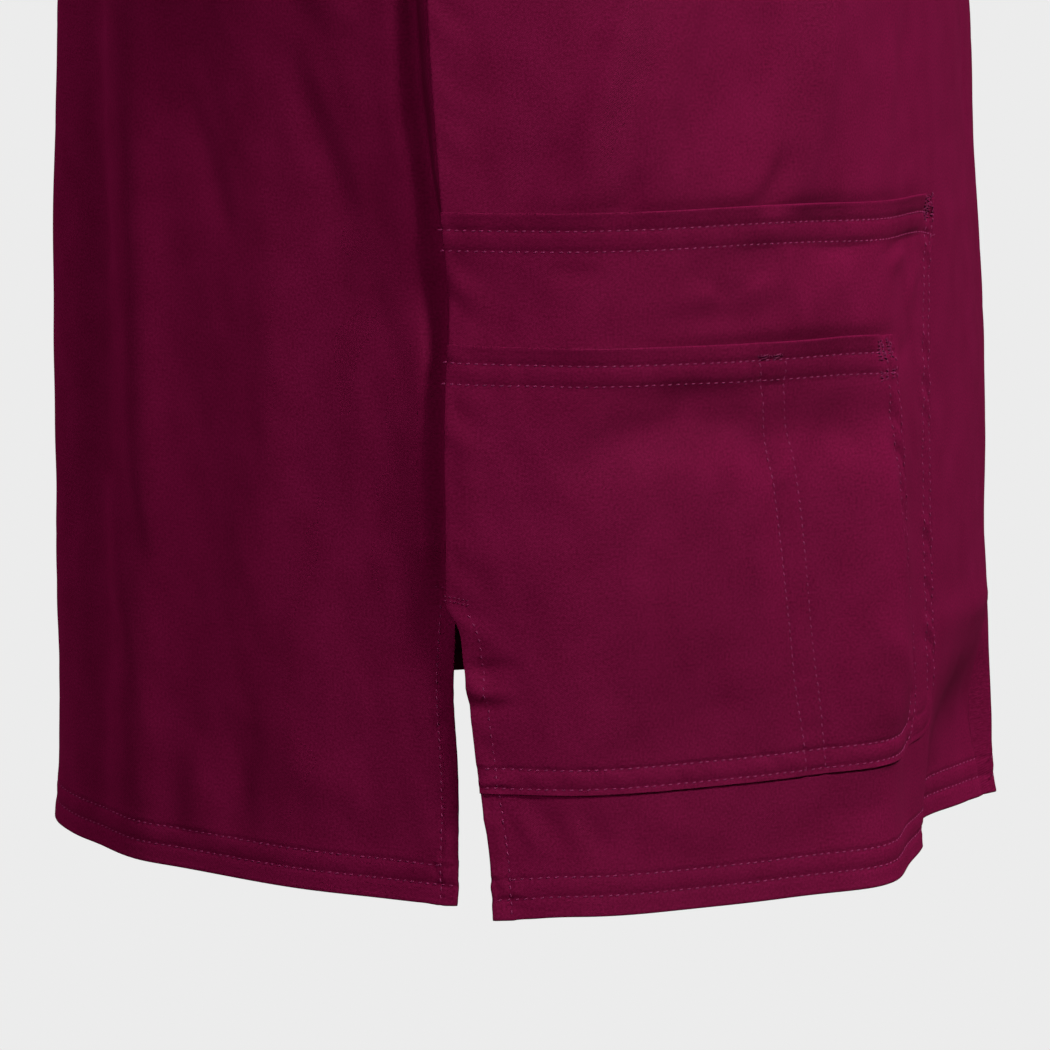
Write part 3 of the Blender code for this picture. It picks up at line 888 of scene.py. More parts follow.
@dataclass(frozen=True)
class BackdropFinish:
    """The plain pale surface behind and under the garment, evenly lit."""

    name: str = "backdrop_pale"
    level: float = 0.8388

    def material(self) -> bpy.types.Material:
        """Build the surface's material.

        Returns:
            The material.
        """
        board = MaterialBoard(self.name)
        board.wire(board.shader, {"Base Color": (0.0, 0.0, 0.0, 1.0), "Specular IOR Level": 0.0,
                                  "Emission Color": (*[self.level] * 3, 1.0), "Emission Strength": 1.0})
        return board.material


# --- shells of cloth


def new_piece(name: str, points: Array, faces: list[list[int]],
              material: bpy.types.Material) -> bpy.types.Object:
    """Make a smooth-shaded piece that rides on the garment.

    Args:
        name: The piece's name.
        points: Its points.
        faces: The point numbers of each face.
        material: Its finish.

    Returns:
        The new piece.
    """
    mesh = bpy.data.meshes.new(name)
    mesh.from_pydata(points.tolist(), [], faces)
    mesh.materials.append(material)
    mesh.shade_smooth()
    piece = bpy.data.objects.new(name, mesh)
    bpy.context.scene.collection.objects.link(piece)
    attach(piece, "root")
    LOG.info("%s: %d faces", name, len(mesh.polygons))
    return piece


class Shell:
    """Grids of outer points that become one closed wall of cloth with rounded edges."""

    def __init__(self) -> None:
        """Start with no points."""
        self.points: list[Array] = []
        self.walls: list[Array] = []
        self.quads: list[Array] = []
        self.corners: list[Array] = []
        self.count = 0

    def add(self, points: Array, uv: Array, wall: Array, flip: bool, shared: Array | None = None,
            wrap: float = 0.0) -> Array:
        """Add a grid of outer points.

        Args:
            points: Rows and columns of points.
            uv: Their places on the flat cloth.
            wall: The cloth's thickness at each.
            flip: Whether the faces have to turn over to look outwards.
            shared: Point numbers for the last column, -1 where it has its own points.
            wrap: Width of the cloth if the last column joins the first, else 0.

        Returns:
            The number of every point.
        """
        rows, columns = points.shape[:2]
        numbers = np.full((rows, columns), -1)
        if shared is not None:
            numbers[:, -1] = shared
        new = numbers < 0
        numbers[new] = self.count + np.arange(new.sum())
        self.count += int(new.sum())
        self.points.append(points[new])
        self.walls.append(wall[new])
        if wrap:
            numbers = np.hstack([numbers, numbers[:, :1]])
            uv = np.concatenate([uv, uv[:, :1] + np.array([wrap, 0.0])], axis=1)
        corners = [(slice(None, -1), slice(None, -1)), (slice(None, -1), slice(1, None)),
                   (slice(1, None), slice(1, None)), (slice(1, None), slice(None, -1))]
        if flip:
            corners.reverse()
        self.quads.append(np.stack([numbers[cut].ravel() for cut in corners], axis=1))
        self.corners.append(np.stack([uv[cut].reshape(-1, 2) for cut in corners], axis=1))
        return numbers

    def build(self, name: str, material: bpy.types.Material, bulge: float) -> bpy.types.Object:
        """Close the wall and make the piece.

        Args:
            name: The piece's name.
            material: Its finish.
            bulge: How round its edges are, from 0 to 1.

        Returns:
            The new piece.
        """
        outer, wall = np.concatenate(self.points), np.concatenate(self.walls)
        quads, uv = np.concatenate(self.quads), np.concatenate(self.corners)
        first, second, third, fourth = (outer[corner] for corner in quads.T)
        face_normal = np.cross(third - first, fourth - second)
        normal = np.zeros_like(outer)
        for corner in quads.T:
            np.add.at(normal, corner, face_normal)
        normal = unit(normal)
        inner = outer - normal * wall[:, None]
        count = len(outer)
        starts, ends = quads.ravel(), np.roll(quads, -1, axis=1).ravel()
        open_edge = ~np.isin(starts * count + ends, ends * count + starts)
        starts, ends = starts[open_edge], ends[open_edge]
        edge_uv = np.stack([uv.reshape(-1, 2), np.roll(uv, -1, axis=1).reshape(-1, 2)], axis=1)[open_edge]
        away = np.zeros_like(outer)
        push = np.cross(unit(outer[ends] - outer[starts]), normal[starts] + normal[ends])
        for corner in (starts, ends):
            np.add.at(away, corner, push)
        rim = np.unique(starts)
        place = np.zeros(count, int)
        place[rim] = np.arange(len(rim))
        away, half, middle = unit(away[rim]), wall[rim, None] / 2, (outer[rim] + inner[rim]) / 2
        points, bands = [outer, inner], [(starts, ends)]
        for number, turn in enumerate((45.0, 90.0, 135.0)):
            lean, first = math.radians(turn), 2 * count + number * len(rim)
            points.append(middle + half * (normal[rim] * math.cos(lean) + away * bulge * math.sin(lean)))
            bands.append((first + place[starts], first + place[ends]))
        bands.append((count + starts, count + ends))
        faces, face_uv = [quads, quads[:, ::-1] + count], [uv, uv[:, ::-1]]
        for (near, near_end), (far, far_end) in zip(bands, bands[1:]):
            faces.append(np.stack([near_end, near, far, far_end], axis=1))
            face_uv.append(edge_uv[:, [1, 0, 0, 1]])
        piece = new_piece(name, np.concatenate(points), np.concatenate(faces).tolist(), material)
        piece.data.uv_layers.new(name="cloth").data.foreach_set("uv", np.concatenate(face_uv).ravel())
        return piece


def hang(piece: bpy.types.Object, node: str, flat: Pair) -> None:
    """Hide the solid that a cloth stands for.

    Args:
        piece: The cloth; not used.
        node: The solid that it stands for.
        flat: The width and length of its cut; not used.
    """
    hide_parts(node)


# --- body panels


@dataclass
class BodyPanel:
    """The front or the back, from the hem to the shoulder seams; stops are in millimetres."""

    form: TorsoForm
    relief: BodyRelief
    facing: Facing
    finish: bpy.types.Material
    wall: float = 0.9 * MM
    hem_wall: float = 1.6 * MM
    lap: float = 3.0 * MM
    lap_rise: Pair = (99.0 * MM, 110.0 * MM)
    lap_end: Pair = (0.38, 0.44)
    corner_drop: float = 2.0 * MM
    seam_reach: float = 24.0 * MM
    seam_rows: int = 14
    row_stops: Stops = ((0, 0.8), (5.0, 0.48), (7.4, 1.0), (11.6, 0.48), (15.0, 2.4), (310, 3.6), (450, 1))
    armhole_rows: int = 30
    shoulder_rows: int = 12
    below_neck: tuple[float, ...] = (-0.039, -0.033, -0.027, -0.0225)
    flat: Pair = (0.61, 0.75)

    @property
    def front(self) -> bool:
        """Whether this is the front."""
        return self.facing is Facing.FRONT

    def column_places(self, side: Side) -> Array:
        """Set out the columns of one half.

        Args:
            side: The wearer's side.

        Returns:
            Their places from the side edge, 0, to the centre, 1.
        """
        coarse = (3.0 if side is Side.RIGHT else 4.3) * (1.0 if self.front else 1.08)
        places = spaced((0, 0.8), (4.4, 0.5), (7.6, 1.2), (16, coarse), (288 if self.front else 297, 1))
        return places / places[-1]

    def upper_heights(self) -> tuple[Array, float]:
        """Set out the rows above the underarm.

        Returns:
            Their heights, and the height where the neckline begins.
        """
        form = self.form
        low, tip = form.underarm_height, form.shoulder_tip[1]
        turns = np.arange(1, self.armhole_rows + 1) * math.pi / self.armhole_rows
        heights = (low + tip) / 2 - (tip - low) / 2 * np.cos(turns)
        if self.front:
            split = -form.front_neck_drop
            heights[np.abs(heights - split).argmin()] = split
            parts = np.arange(1, self.shoulder_rows + 1) / self.shoulder_rows
            return np.concatenate([heights, tip * (1.0 - parts) - form.gap * parts]), split
        parts = np.sin(np.linspace(0.0, math.radians(89.0), self.shoulder_rows))
        neck = -form.back_neck_drop * np.sqrt(1.0 - parts**2)
        return np.concatenate([heights, self.below_neck, neck]), -form.back_neck_drop

    def start_arc(self, above: Array) -> Array:
        """Find the side edge, with the back's lap under the front above the vent.

        Args:
            above: Heights above the hem.

        Returns:
            The edge's arc at each.
        """
        if self.front:
            return self.relief.front_edge(above)
        lap = self.lap * step_up(above, *self.lap_rise) * step_down(above, *self.lap_end)
        return self.relief.back_edge(above) + lap

    def half_grid(self, side: Side) -> tuple[Array, Array, Array]:
        """Set out one half's smooth form.

        Args:
            side: The wearer's side.

        Returns:
            Its points, and their arcs and heights above the hem.
        """
        form, facing = self.form, self.facing
        above = spaced(*self.row_stops)[:, None]
        start, end = self.start_arc(above), form.centre(facing, above)
        arcs = start + (end - start) * self.column_places(side)[None, :]
        above = above + np.zeros_like(arcs)
        lower = form.point(side, arcs, above)
        underarm = np.array(form.underarm_height)
        turns = form.turn_at(facing, np.abs(lower[-1, :, 0]), form.sizes_at(underarm)[0], underarm)
        turns[0], turns[-1] = 0.0, 1.0
        heights, split = self.upper_heights()
        stop = np.where(heights > split, form.neckline_turn(facing, heights), 1.0)
        upper = form.upper_point(facing, side, heights[:, None], turns[None, :] * stop[:, None])
        step = np.linalg.norm(np.diff(upper, axis=1), axis=2)[:, ::-1]
        out = np.abs(upper[:, -1:, 0]) + np.hstack([np.zeros((len(upper), 1)), np.cumsum(step, axis=1)])
        upper_arcs = form.centre(facing, underarm - form.hem_height) + facing.value * out[:, ::-1]
        tall = heights[:, None] - form.hem_height + np.zeros_like(upper_arcs)
        return (np.concatenate([lower, upper]), np.concatenate([arcs, upper_arcs]),
                np.concatenate([above, tall]))

    def hem_drop(self, side: Side, arc: Array, above: Array) -> Array:
        """Let the right front hem hang lower at its corner by the vent.

        Args:
            side: The wearer's side.
            arc: Arcs of the places.
            above: Their heights above the hem.

        Returns:
            The drop at each place.
        """
        if not self.front or side is not Side.RIGHT:
            return np.zeros_like(arc)
        return self.corner_drop * step_down(arc, -24.0 * MM, 6.0 * MM) * step_down(above, 0.0, 0.05)

    def seam_calm(self, points: Array, split_row: int) -> Array:
        """Keep creases off the neck and shoulder seams.

        Args:
            points: One half's points.
            split_row: The row where the neckline begins.

        Returns:
            How freely creases lift the cloth at each point, from 0 to 1.
        """
        seams = np.concatenate([points[split_row:, -1], points[-self.shoulder_rows:, 0]])
        upper = points[split_row - self.seam_rows:]
        near = np.linalg.norm(upper[:, :, None] - seams, axis=-1).min(axis=-1)
        calm = np.ones(points.shape[:2])
        calm[split_row - self.seam_rows:] = step_up(near, 0.0, self.seam_reach)
        return calm

    def build(self) -> None:
        """Make the panel's shell."""
        shell = Shell()
        heights, split = self.upper_heights()
        split_row = len(spaced(*self.row_stops)) + int((heights <= split).sum())
        column = None
        for side in Side:
            sign = side.value * self.facing.value
            points, arcs, above = self.half_grid(side)
            outward = sign * unit(np.cross(np.gradient(points, axis=1), np.gradient(points, axis=0)))
            lift = self.relief.depth_at(self.facing, side, arcs, above) * self.seam_calm(points, split_row)
            points = points + outward * lift[..., None]
            points[:split_row, -1, 0] = 0.0
            points[..., 2] -= self.hem_drop(side, arcs, above)
            hem = step_down(above, self.relief.hem_fold, self.relief.hem_fold + 2 * MM)
            wall = self.wall + (self.hem_wall - self.wall) * hem
            uv = joined(arcs - side.value * 0.01, above)
            column = shell.add(points, uv, wall, sign < 0, column)[:, -1].copy()
            column[split_row:] = -1
        node = self.facing.name.lower()
        hang(shell.build(f"{node}_cloth", self.finish, 0.5), node, self.flat)

    def surface(self, side: Side) -> SurfaceMap:
        """Give the finished outer face below the underarm.

        Args:
            side: The wearer's side.

        Returns:
            What finds its points by arc and height above the hem.
        """
        def place(arc: Array, above: Array) -> Array:
            """Points at given arcs and heights."""
            points = self.form.lifted(side, arc, above, self.relief.depth_at(self.facing, side, arc, above))
            points[..., 2] -= self.hem_drop(side, arc, above)
            return points
        return place


# --- pockets


@dataclass
class PatchPocket:
    """A patch pocket on the wearer's right, sewn on over what lies under it."""

    form: TorsoForm
    body: BodyRelief
    node: str
    finish: bpy.types.Material
    front_line: tuple[Line, ...]
    top_line: Stops
    creases: tuple[Crease, ...]
    columns: Array
    flat: Pair
    under: PatchPocket | None = None
    pen_lines: tuple[tuple[Line, ...], ...] = ()
    bottom: float = 40.0 * MM
    corner: float = 15.0 * MM
    side_arc: float = -38.0 * MM
    wall: float = 0.32 * MM
    hem_wall: float = 0.8 * MM
    clearance: float = 0.12 * MM
    bag: float = 1.3 * MM
    bag_reach: float = 20.0 * MM
    softness: float = 0.15 * MM
    pen_hold: Pair = (0.55, 7.0 * MM)
    top_rows: Pair = (5.5 * MM, 12.3 * MM)
    edge_rows: Pair = (1.7 * MM, 8.1 * MM)
    hem_fold: float = 13.6 * MM
    top_edge: Pair = (12.7 * MM, 14.0 * MM)
    edge_fold: Pair = (9.0 * MM, 11.5 * MM)
    edge_below: Pair = (6.0 * MM, 12.0 * MM)
    edge_share: float = 0.35
    edge_groove: float = 0.6
    edge_middle: float = 5.0 * MM
    edge_upright: tuple[float, ...] = (0.55, 1.75, 12.0 * MM, 26.0 * MM)
    hem_middle: float = 9.0 * MM
    edge_pucker: Pucker = Pucker(0.26 * MM, 7.6 * MM, 6.5 * MM, 0.5, 31)
    hem_pucker: Pucker = Pucker(0.12 * MM, 6.0 * MM, 4.5 * MM, 0.7, 32)
    pen_pucker: Pucker = Pucker(0.26 * MM, 5.6 * MM, 5.5 * MM, 0.3, 41)
    pen_strength: Triple = (0.45, 60.0 * MM, 30.0 * MM)
    mouth: float = 2.6 * MM
    mouth_wave: Pair = (0.25, 0.067)
    mouth_reach: Pair = (13.2 * MM, 3.0 * MM)
    mouth_share: float = 0.75
    mouth_calm: float = 12.0 * MM
    crease_calm: float = 9.0 * MM
    gape: Triple = (0.0, 0.0, 1.0)

    def top(self, arc: Array) -> Array:
        """Height of the top edge above the hem, by arc."""
        arcs, heights = np.array(self.top_line).T * MM
        return eased(arc, arcs, heights)

    def from_front(self, arc: Array, above: Array) -> Array:
        """Measure in from the front and bottom edges, round the corner between them.

        Args:
            arc: Arcs of the places.
            above: Their heights above the hem.

        Returns:
            The distance at each place.
        """
        side, low = line_arc(self.front_line, above) - arc, above - self.bottom
        turn = self.corner - np.hypot(np.maximum(self.corner - side, 0.0), np.maximum(self.corner - low, 0.0))
        return np.where((side < self.corner) & (low < self.corner), turn, np.minimum(side, low))

    def soft_depth(self, arc: Array, above: Array, below: Array, sewn: Array) -> Array:
        """Let the loose cloth bag out, gape at the mouth and crease.

        Args:
            arc: Arcs of the places.
            above: Their heights above the hem.
            below: Their distances below the top edge.
            sewn: Their distances in from the sewn edges.

        Returns:
            The distance outwards, which stays above 0.
        """
        held = 1.0
        for line in self.pen_lines:
            held = held * (1.0 - self.pen_hold[0] * bell(arc - line_arc(line, above), self.pen_hold[1]))
        bag = self.bag * (1.0 - np.exp(-sewn / self.bag_reach)) * held
        lift = self.mouth * (1.0 + self.mouth_wave[0] * np.sin(arc * TURN / self.mouth_wave[1] + self.bottom))
        lift = lift + self.gape[0] * bell(arc - self.gape[1], self.gape[2])
        deep, lip = self.mouth_reach
        lift = lift * (self.mouth_share * np.clip(1.0 - below / deep, 0.0, 1.0)
                       + (1.0 - self.mouth_share) * np.exp(-below / lip))
        soft = (bag + crease_depth(self.creases, arc, above) * step_up(sewn, 0.0, self.crease_calm)
                + lift * step_up(sewn, 0.0, self.mouth_calm))
        return 0.5 * (soft + np.sqrt(soft**2 + self.softness**2))

    def depth_at(self, arc: Array, above: Array) -> Array:
        """Work out how far the pocket's outer face stands out from the smooth form.

        Args:
            arc: Arcs of the places.
            above: Their heights above the hem.

        Returns:
            The distance outwards at each place.
        """
        body = self.body
        front, below = self.from_front(arc, above), self.top(arc) - above
        sewn = np.minimum(arc - body.front_edge(above), front - self.edge_rows[1])
        sewn = np.maximum(sewn, 0.0)
        total = self.clearance + self.wall + self.soft_depth(arc, above, below, sewn)
        total += body.fold_rise * step_down(below, *self.top_edge)
        fold = step_down(front, *self.edge_fold) * step_up(below, *self.edge_below)
        total += body.fold_rise * self.edge_share * fold
        total += body.sewn_grooves(below, *self.top_rows)
        total += self.edge_groove * body.sewn_grooves(front, *self.edge_rows)
        total += self.hem_pucker.depth_at(arc, below - self.hem_middle)
        low, gain, start, end = self.edge_upright
        upright = (low + gain * step_up(above - self.bottom, start, end)) * step_up(front, 0.0, 2.0 * MM)
        total += self.edge_pucker.depth_at(above + arc, front - self.edge_middle) * upright
        for line in self.pen_lines:
            total += body.sewn_grooves(arc - line_arc(line, above), 0.0)
        if self.pen_lines:
            middle = sum(line_arc(line, above) for line in self.pen_lines) / len(self.pen_lines)
            share, height, reach = self.pen_strength
            strength = share + (1.0 - share) * bell(above - height, reach)
            total += self.pen_pucker.depth_at(above, arc - middle) * strength
        if self.under:
            return self.under.depth_at(arc, above) + total
        return body.depth_at(Facing.FRONT, Side.RIGHT, arc, above) + total

    def surface(self, arc: Array, above: Array) -> Array:
        """The finished outer face, by arc and height above the hem."""
        return self.form.lifted(Side.RIGHT, arc, above, self.depth_at(arc, above))

    def grid(self) -> tuple[Array, Array]:
        """Set out the pocket's rows and columns.

        Returns:
            Their arcs and their heights above the hem.
        """
        places = (self.columns / self.columns[-1])[None, :]
        tall = float(self.top(np.array(self.side_arc))) - self.bottom
        high = tall / MM
        rows = spaced((0, 0.9), (1.2, 0.5), (2.6, 1.2), (7.0, 0.55), (9.8, 1.9), (high - 14.6, 0.5),
                      (high - 11.6, 1.1), (high - 6.6, 0.5), (high - 4.6, 1.0), (high, 1))
        share = (rows / rows[-1])[:, None]
        above = self.bottom + tall * share + np.zeros_like(places)
        for _ in range(4):
            start, end = self.body.front_edge(above), line_arc(self.front_line, above)
            arc = start + (end - start) * places
            gap = np.clip(self.corner - (end - arc), 0.0, self.corner)
            low = self.bottom + self.corner - np.sqrt(np.maximum(self.corner**2 - gap**2, 0.0))
            above = low + (self.top(arc) - low) * share
        return arc, above

    def build(self) -> None:
        """Make the pocket's shell."""
        arc, above = self.grid()
        hem = step_down(self.top(arc) - above, self.hem_fold, self.hem_fold + 1.0 * MM)
        shell = Shell()
        shell.add(self.surface(arc, above), joined(arc + 0.5, above + 0.3),
                  self.wall + (self.hem_wall - self.wall) * hem, False)
        hang(shell.build(f"{self.node}_cloth", self.finish, 0.9), self.node, self.flat)


# --- sleeves and neckband


@dataclass
class Sleeve:
    """A short set-in sleeve, from the armhole to its twice-sewn hem."""

    form: TorsoForm
    body: BodyRelief
    side: Side
    finish: bpy.types.Material
    angle: float = math.radians(40.0)
    top_length: float = 0.215
    under_length: float = 0.110
    middle_length: float = 0.165
    girth: float = 0.42
    half_depth: float = 0.055
    wall: float = 0.9 * MM
    hem_wall: float = 1.6 * MM
    hem_rows: Pair = (6.2 * MM, 12.7 * MM)
    hem_edge: Pair = (13.1 * MM, 14.5 * MM)
    columns: int = 150
    row_stops: Stops = ((0, 0.8), (5.0, 0.55), (7.4, 1.1), (11.6, 0.55), (15, 3.0), (165, 1))
    head_pucker: Pucker = Pucker(0.5 * MM, 12 * MM, 7 * MM, 0.3, 75)
    flat: Pair = (0.46, 0.25)

    def smooth(self, turn: Array, part: Array) -> Array:
        """Find places on the sleeve's smooth form.

        Args:
            turn: Turns round the sleeve from the underarm.
            part: Shares of the way from the armhole to the end.

        Returns:
            The points.
        """
        form, sign = self.form, self.side.value
        tip_x, tip_z = form.shoulder_tip
        low = form.underarm_height
        height = (low + tip_z) / 2 - (tip_z - low) / 2 * np.cos(turn)
        width = form.panel_edge(np.minimum(height, tip_z - 1e-9))[0]
        start = joined(sign * width, -form.armhole_forward * np.sin(turn), height)
        along = np.array([sign * math.sin(self.angle), 0.0, -math.cos(self.angle)])
        top = np.array([sign * tip_x, 0.0, tip_z]) + along * self.top_length
        edge = float(form.panel_edge(np.array(low))[0])
        under = np.array([sign * edge, 0.0, low]) + along * self.under_length
        end = (top + under) / 2 - (top - under) / 2 * np.cos(turn)[..., None]
        end[..., 1] = -self.half_depth * np.sin(turn)
        start = start + unit(end - start) * 2 * form.gap + np.array([sign * 2 * form.gap, 0.0, 0.0])
        return start + (end - start) * part[..., None]

    def length_at(self, turn: Array) -> Array:
        """The sleeve's length at a turn round it."""
        return self.under_length + (self.top_length - self.under_length) * (1 - np.cos(turn)) / 2

    def folds(self) -> tuple[Crease, ...]:
        """Place the drag lines from the underarm and the soft folds down the sleeve.

        Returns:
            The creases, by girth and drop.
        """
        sway = 6.0 if self.side is Side.LEFT else 0.0
        drags = creases(
            (9, 3, 28 + sway, 2, 60, 60, 84, 118), (8, 2.4, 12, 6, 34 + sway, 70),
            (9, 3, 382, 2, 352 - sway, 60, 330, 112), (8, 2.2, 404, 6, 380, 64), full_start=True)
        return drags + creases(
            (12, 2.4, 96, 30, 120 + sway, 120), (13, 1.8, 150, 20, 160 + sway, 130),
            (13, 2, 230, 20, 240 - sway, 120), (12, 2.6, 318 - sway, 16, 292, 110))

    def surface(self, turn: Array, drop: Array) -> Array:
        """Find places on the finished outer face.

        Args:
            turn: Turns round the sleeve from the underarm.
            drop: Shares of the way from the armhole to the end.

        Returns:
            The points.
        """
        around, length = turn / TURN * self.girth, self.length_at(turn)
        down, from_end = drop * length, (1.0 - drop) * length
        last = np.minimum(drop + 0.01, 1.0)
        outward = self.side.value * unit(np.cross(
            self.smooth(turn + 0.01, drop) - self.smooth(turn - 0.01, drop),
            self.smooth(turn, last) - self.smooth(turn, last - 0.02)))
        lift = crease_depth(self.folds(), around, down / np.maximum(length / 0.2, 0.5))
        lift = lift * (1.0 - 0.8 * step_up(drop, 0.80, 1.0)) * step_up(drop, 0.0, 0.06)
        lift += Slub(0.5 * MM, 48 * MM, 70 + self.side.value).depth_at(around, down) * step_up(drop, 0, 0.2)
        lift += self.body.fold_rise * step_down(from_end, *self.hem_edge)
        lift += self.body.sewn_grooves(from_end, *self.hem_rows)
        lift += self.body.hem_pucker.depth_at(around, from_end - 9.0 * MM)
        lift += self.head_pucker.depth_at(around, down) * step_up(drop, 0, 0.03)
        return self.smooth(turn, drop) + outward * lift[..., None]

    def build(self) -> None:
        """Make the sleeve's shell."""
        turns = np.arange(self.columns) * TURN / self.columns
        turn, drop = np.meshgrid(turns, 1.0 - spaced(*self.row_stops)[::-1] / self.middle_length)
        uv = joined(turn / TURN * self.girth + 1.0, -drop * self.middle_length)
        wall = np.where((1.0 - drop) * self.middle_length < self.body.hem_fold, self.hem_wall, self.wall)
        shell = Shell()
        shell.add(self.surface(turn, drop), uv, wall, self.side is Side.LEFT, wrap=self.girth)
        node = f"sleeve_{self.side.name.lower()}"
        hang(shell.build(f"{node}_cloth", self.finish, 0.5), node, self.flat)


@dataclass
class Neckband:
    """The band round the neck opening, mitred at the point of the V."""

    panels: dict[Facing, BodyPanel]
    body: BodyRelief
    finish: bpy.types.Material
    half_width: float = 0.077
    rise: float = 0.007
    front_drop: float = 0.160
    back_depth: float = 0.044
    back_rise: float = 0.003
    overlap: float = 0.5 * MM
    tuck: int = 8
    bow: float = 0.95
    wall: float = 1.5 * MM
    crown: float = 0.9 * MM
    edge_rows: Pair = (2.4 * MM, 3.0 * MM)
    flat_width: float = 0.033
    shares: tuple[float, ...] = (0, 0.04, 0.07, 0.095, 0.12, 0.15, 0.22, 0.32, 0.42, 0.52, 0.62, 0.72,
                                 0.80, 0.85, 0.88, 0.91, 0.95, 1.0)
    flat: Pair = (0.62, 0.036)

    def front_depth(self, across: Array, height: Array) -> Array:
        """Find how far the front's face lies before the shoulder line, near the neck.

        Args:
            across: Distances out from the middle.
            height: Heights of the places.

        Returns:
            The depth at each place.
        """
        form, height = self.panels[Facing.FRONT].form, np.minimum(height, 0.0)
        depth, square = form.depth_and_square(Facing.FRONT, height)
        ratio = np.minimum(across / form.panel_edge(height)[0], 1.0)
        return depth * (1.0 - ratio**square) ** (1.0 / square)

    def loops(self) -> tuple[Array, Array]:
        """Lay out the band's two edges.

        Returns:
            Points along the neckline's seam, and round the opening.
        """
        form, rows = self.panels[Facing.FRONT].form, {}
        for facing, panel in self.panels.items():
            heights, split = panel.upper_heights()
            rows[facing] = heights[heights >= split - 1e-9]
        front, back = np.append(rows[Facing.FRONT], form.neck_point[1]), rows[Facing.BACK][::-1]
        part = np.maximum(1.0 + front / form.front_neck_drop, 0.0)
        across = self.half_width * part**self.bow
        height = -self.front_drop + (self.front_drop + self.rise) * part
        depth = self.front_depth(across, height) * (1.0 - part**self.tuck)
        behind = -back / form.back_neck_drop
        round_back = self.half_width * np.sqrt(np.maximum(1.0 - behind**2, 0.0))
        seam, opening = [], []
        for side in Side:
            edge = np.concatenate([form.upper_point(facing, side, row, form.neckline_turn(facing, row))
                                   for facing, row in ((Facing.FRONT, front), (Facing.BACK, back))])
            inner = np.concatenate([
                joined(side.value * across, -depth, height),
                joined(side.value * round_back, self.back_depth * behind,
                       self.rise + (self.back_rise - self.rise) * behind)])
            way = slice(None) if side is Side.RIGHT else slice(-2, 0, -1)
            seam.append(edge[way])
            opening.append(inner[way])
        return np.concatenate(seam), np.concatenate(opening)

    def surface(self, loop: Array, across: Array) -> Array:
        """Find places on the band.

        Args:
            loop: Numbers along its loop.
            across: Shares of its width.

        Returns:
            The points.
        """
        seam, opening = self.loops()
        seam = seam - unit(opening - seam) * self.overlap
        first = np.floor(loop).astype(int) % len(seam)
        last, part = (first + 1) % len(seam), (loop - np.floor(loop))[..., None]
        low, high = (edge[first] * (1 - part) + edge[last] * part for edge in (seam, opening))
        outward = unit(np.cross(seam[last] - seam[first], high - low))
        width = np.linalg.norm(high - low, axis=-1)
        lift = self.crown * np.sin(np.clip(across, 0, 1) * math.pi)
        lift = lift + self.body.sewn_grooves(across * width, self.edge_rows[0])
        lift += self.body.sewn_grooves((1 - across) * width, self.edge_rows[1])
        return low + (high - low) * across[..., None] - outward * lift[..., None]

    def build(self) -> None:
        """Make the band's shell."""
        loop, across = np.meshgrid(np.arange(len(self.loops()[0]) * 2) / 2, self.shares)
        points = self.surface(loop, across)
        steps = np.linalg.norm(np.diff(points[0], axis=0, append=points[0][:1]), axis=-1)
        uv = joined(np.cumsum(steps)[None, :] - steps[0] + 2.0, across * self.flat_width)
        shell = Shell()
        shell.add(points, uv, np.full(across.shape, self.wall), True, wrap=float(steps.sum()))
        hang(shell.build("neckband_cloth", self.finish, 0.6), "neckband", self.flat)


# --- sewing


@dataclass
class ThreadStitch:
    """One short stretch of sewing thread that dives into the cloth at both ends.

    A ring is given by its distance from the middle, its width and its drop.
    """

    sides: int = 6
    cuts: int = 3
    rings: tuple[Triple, ...] = ((0.5, 0.34, -0.62), (0.25, 0.92, -0.10))

    def model(self) -> Model:
        """Model the stitch and read its mesh.

        Returns:
            Its points, one unit long and one thick, and its faces.
        """
        bpy.ops.object.select_all(action="DESELECT")
        bpy.ops.mesh.primitive_cylinder_add(vertices=self.sides, radius=0.5, depth=1.0,
                                            rotation=(0.0, math.pi / 2, 0.0))
        bar = bpy.context.active_object
        bpy.ops.object.transform_apply(location=False, rotation=True, scale=False)
        bpy.ops.object.mode_set(mode="EDIT")
        bpy.ops.mesh.select_mode(type="EDGE")
        bpy.ops.mesh.select_all(action="DESELECT")
        work = bmesh.from_edit_mesh(bar.data)
        for edge in work.edges:
            edge.select_set(abs(edge.verts[0].co.x - edge.verts[1].co.x) > 0.9)
        bmesh.update_edit_mesh(bar.data)
        bpy.ops.mesh.subdivide(number_cuts=self.cuts)
        bpy.ops.mesh.select_mode(type="VERT")
        for place, width, drop in self.rings:
            bpy.ops.mesh.select_all(action="DESELECT")
            work = bmesh.from_edit_mesh(bar.data)
            for corner in work.verts:
                corner.select_set(abs(abs(corner.co.x) - place) < 0.02)
            bmesh.update_edit_mesh(bar.data)
            bpy.ops.transform.resize(value=(1.0, width, width), center_override=(0.0, 0.0, 0.0))
            bpy.ops.transform.translate(value=(0.0, 0.0, drop))
        bpy.ops.object.mode_set(mode="OBJECT")
        points = np.array([corner.co[:] for corner in bar.data.vertices])
        faces = [list(polygon.vertices) for polygon in bar.data.polygons]
        bpy.data.objects.remove(bar, do_unlink=True)
        return points, faces


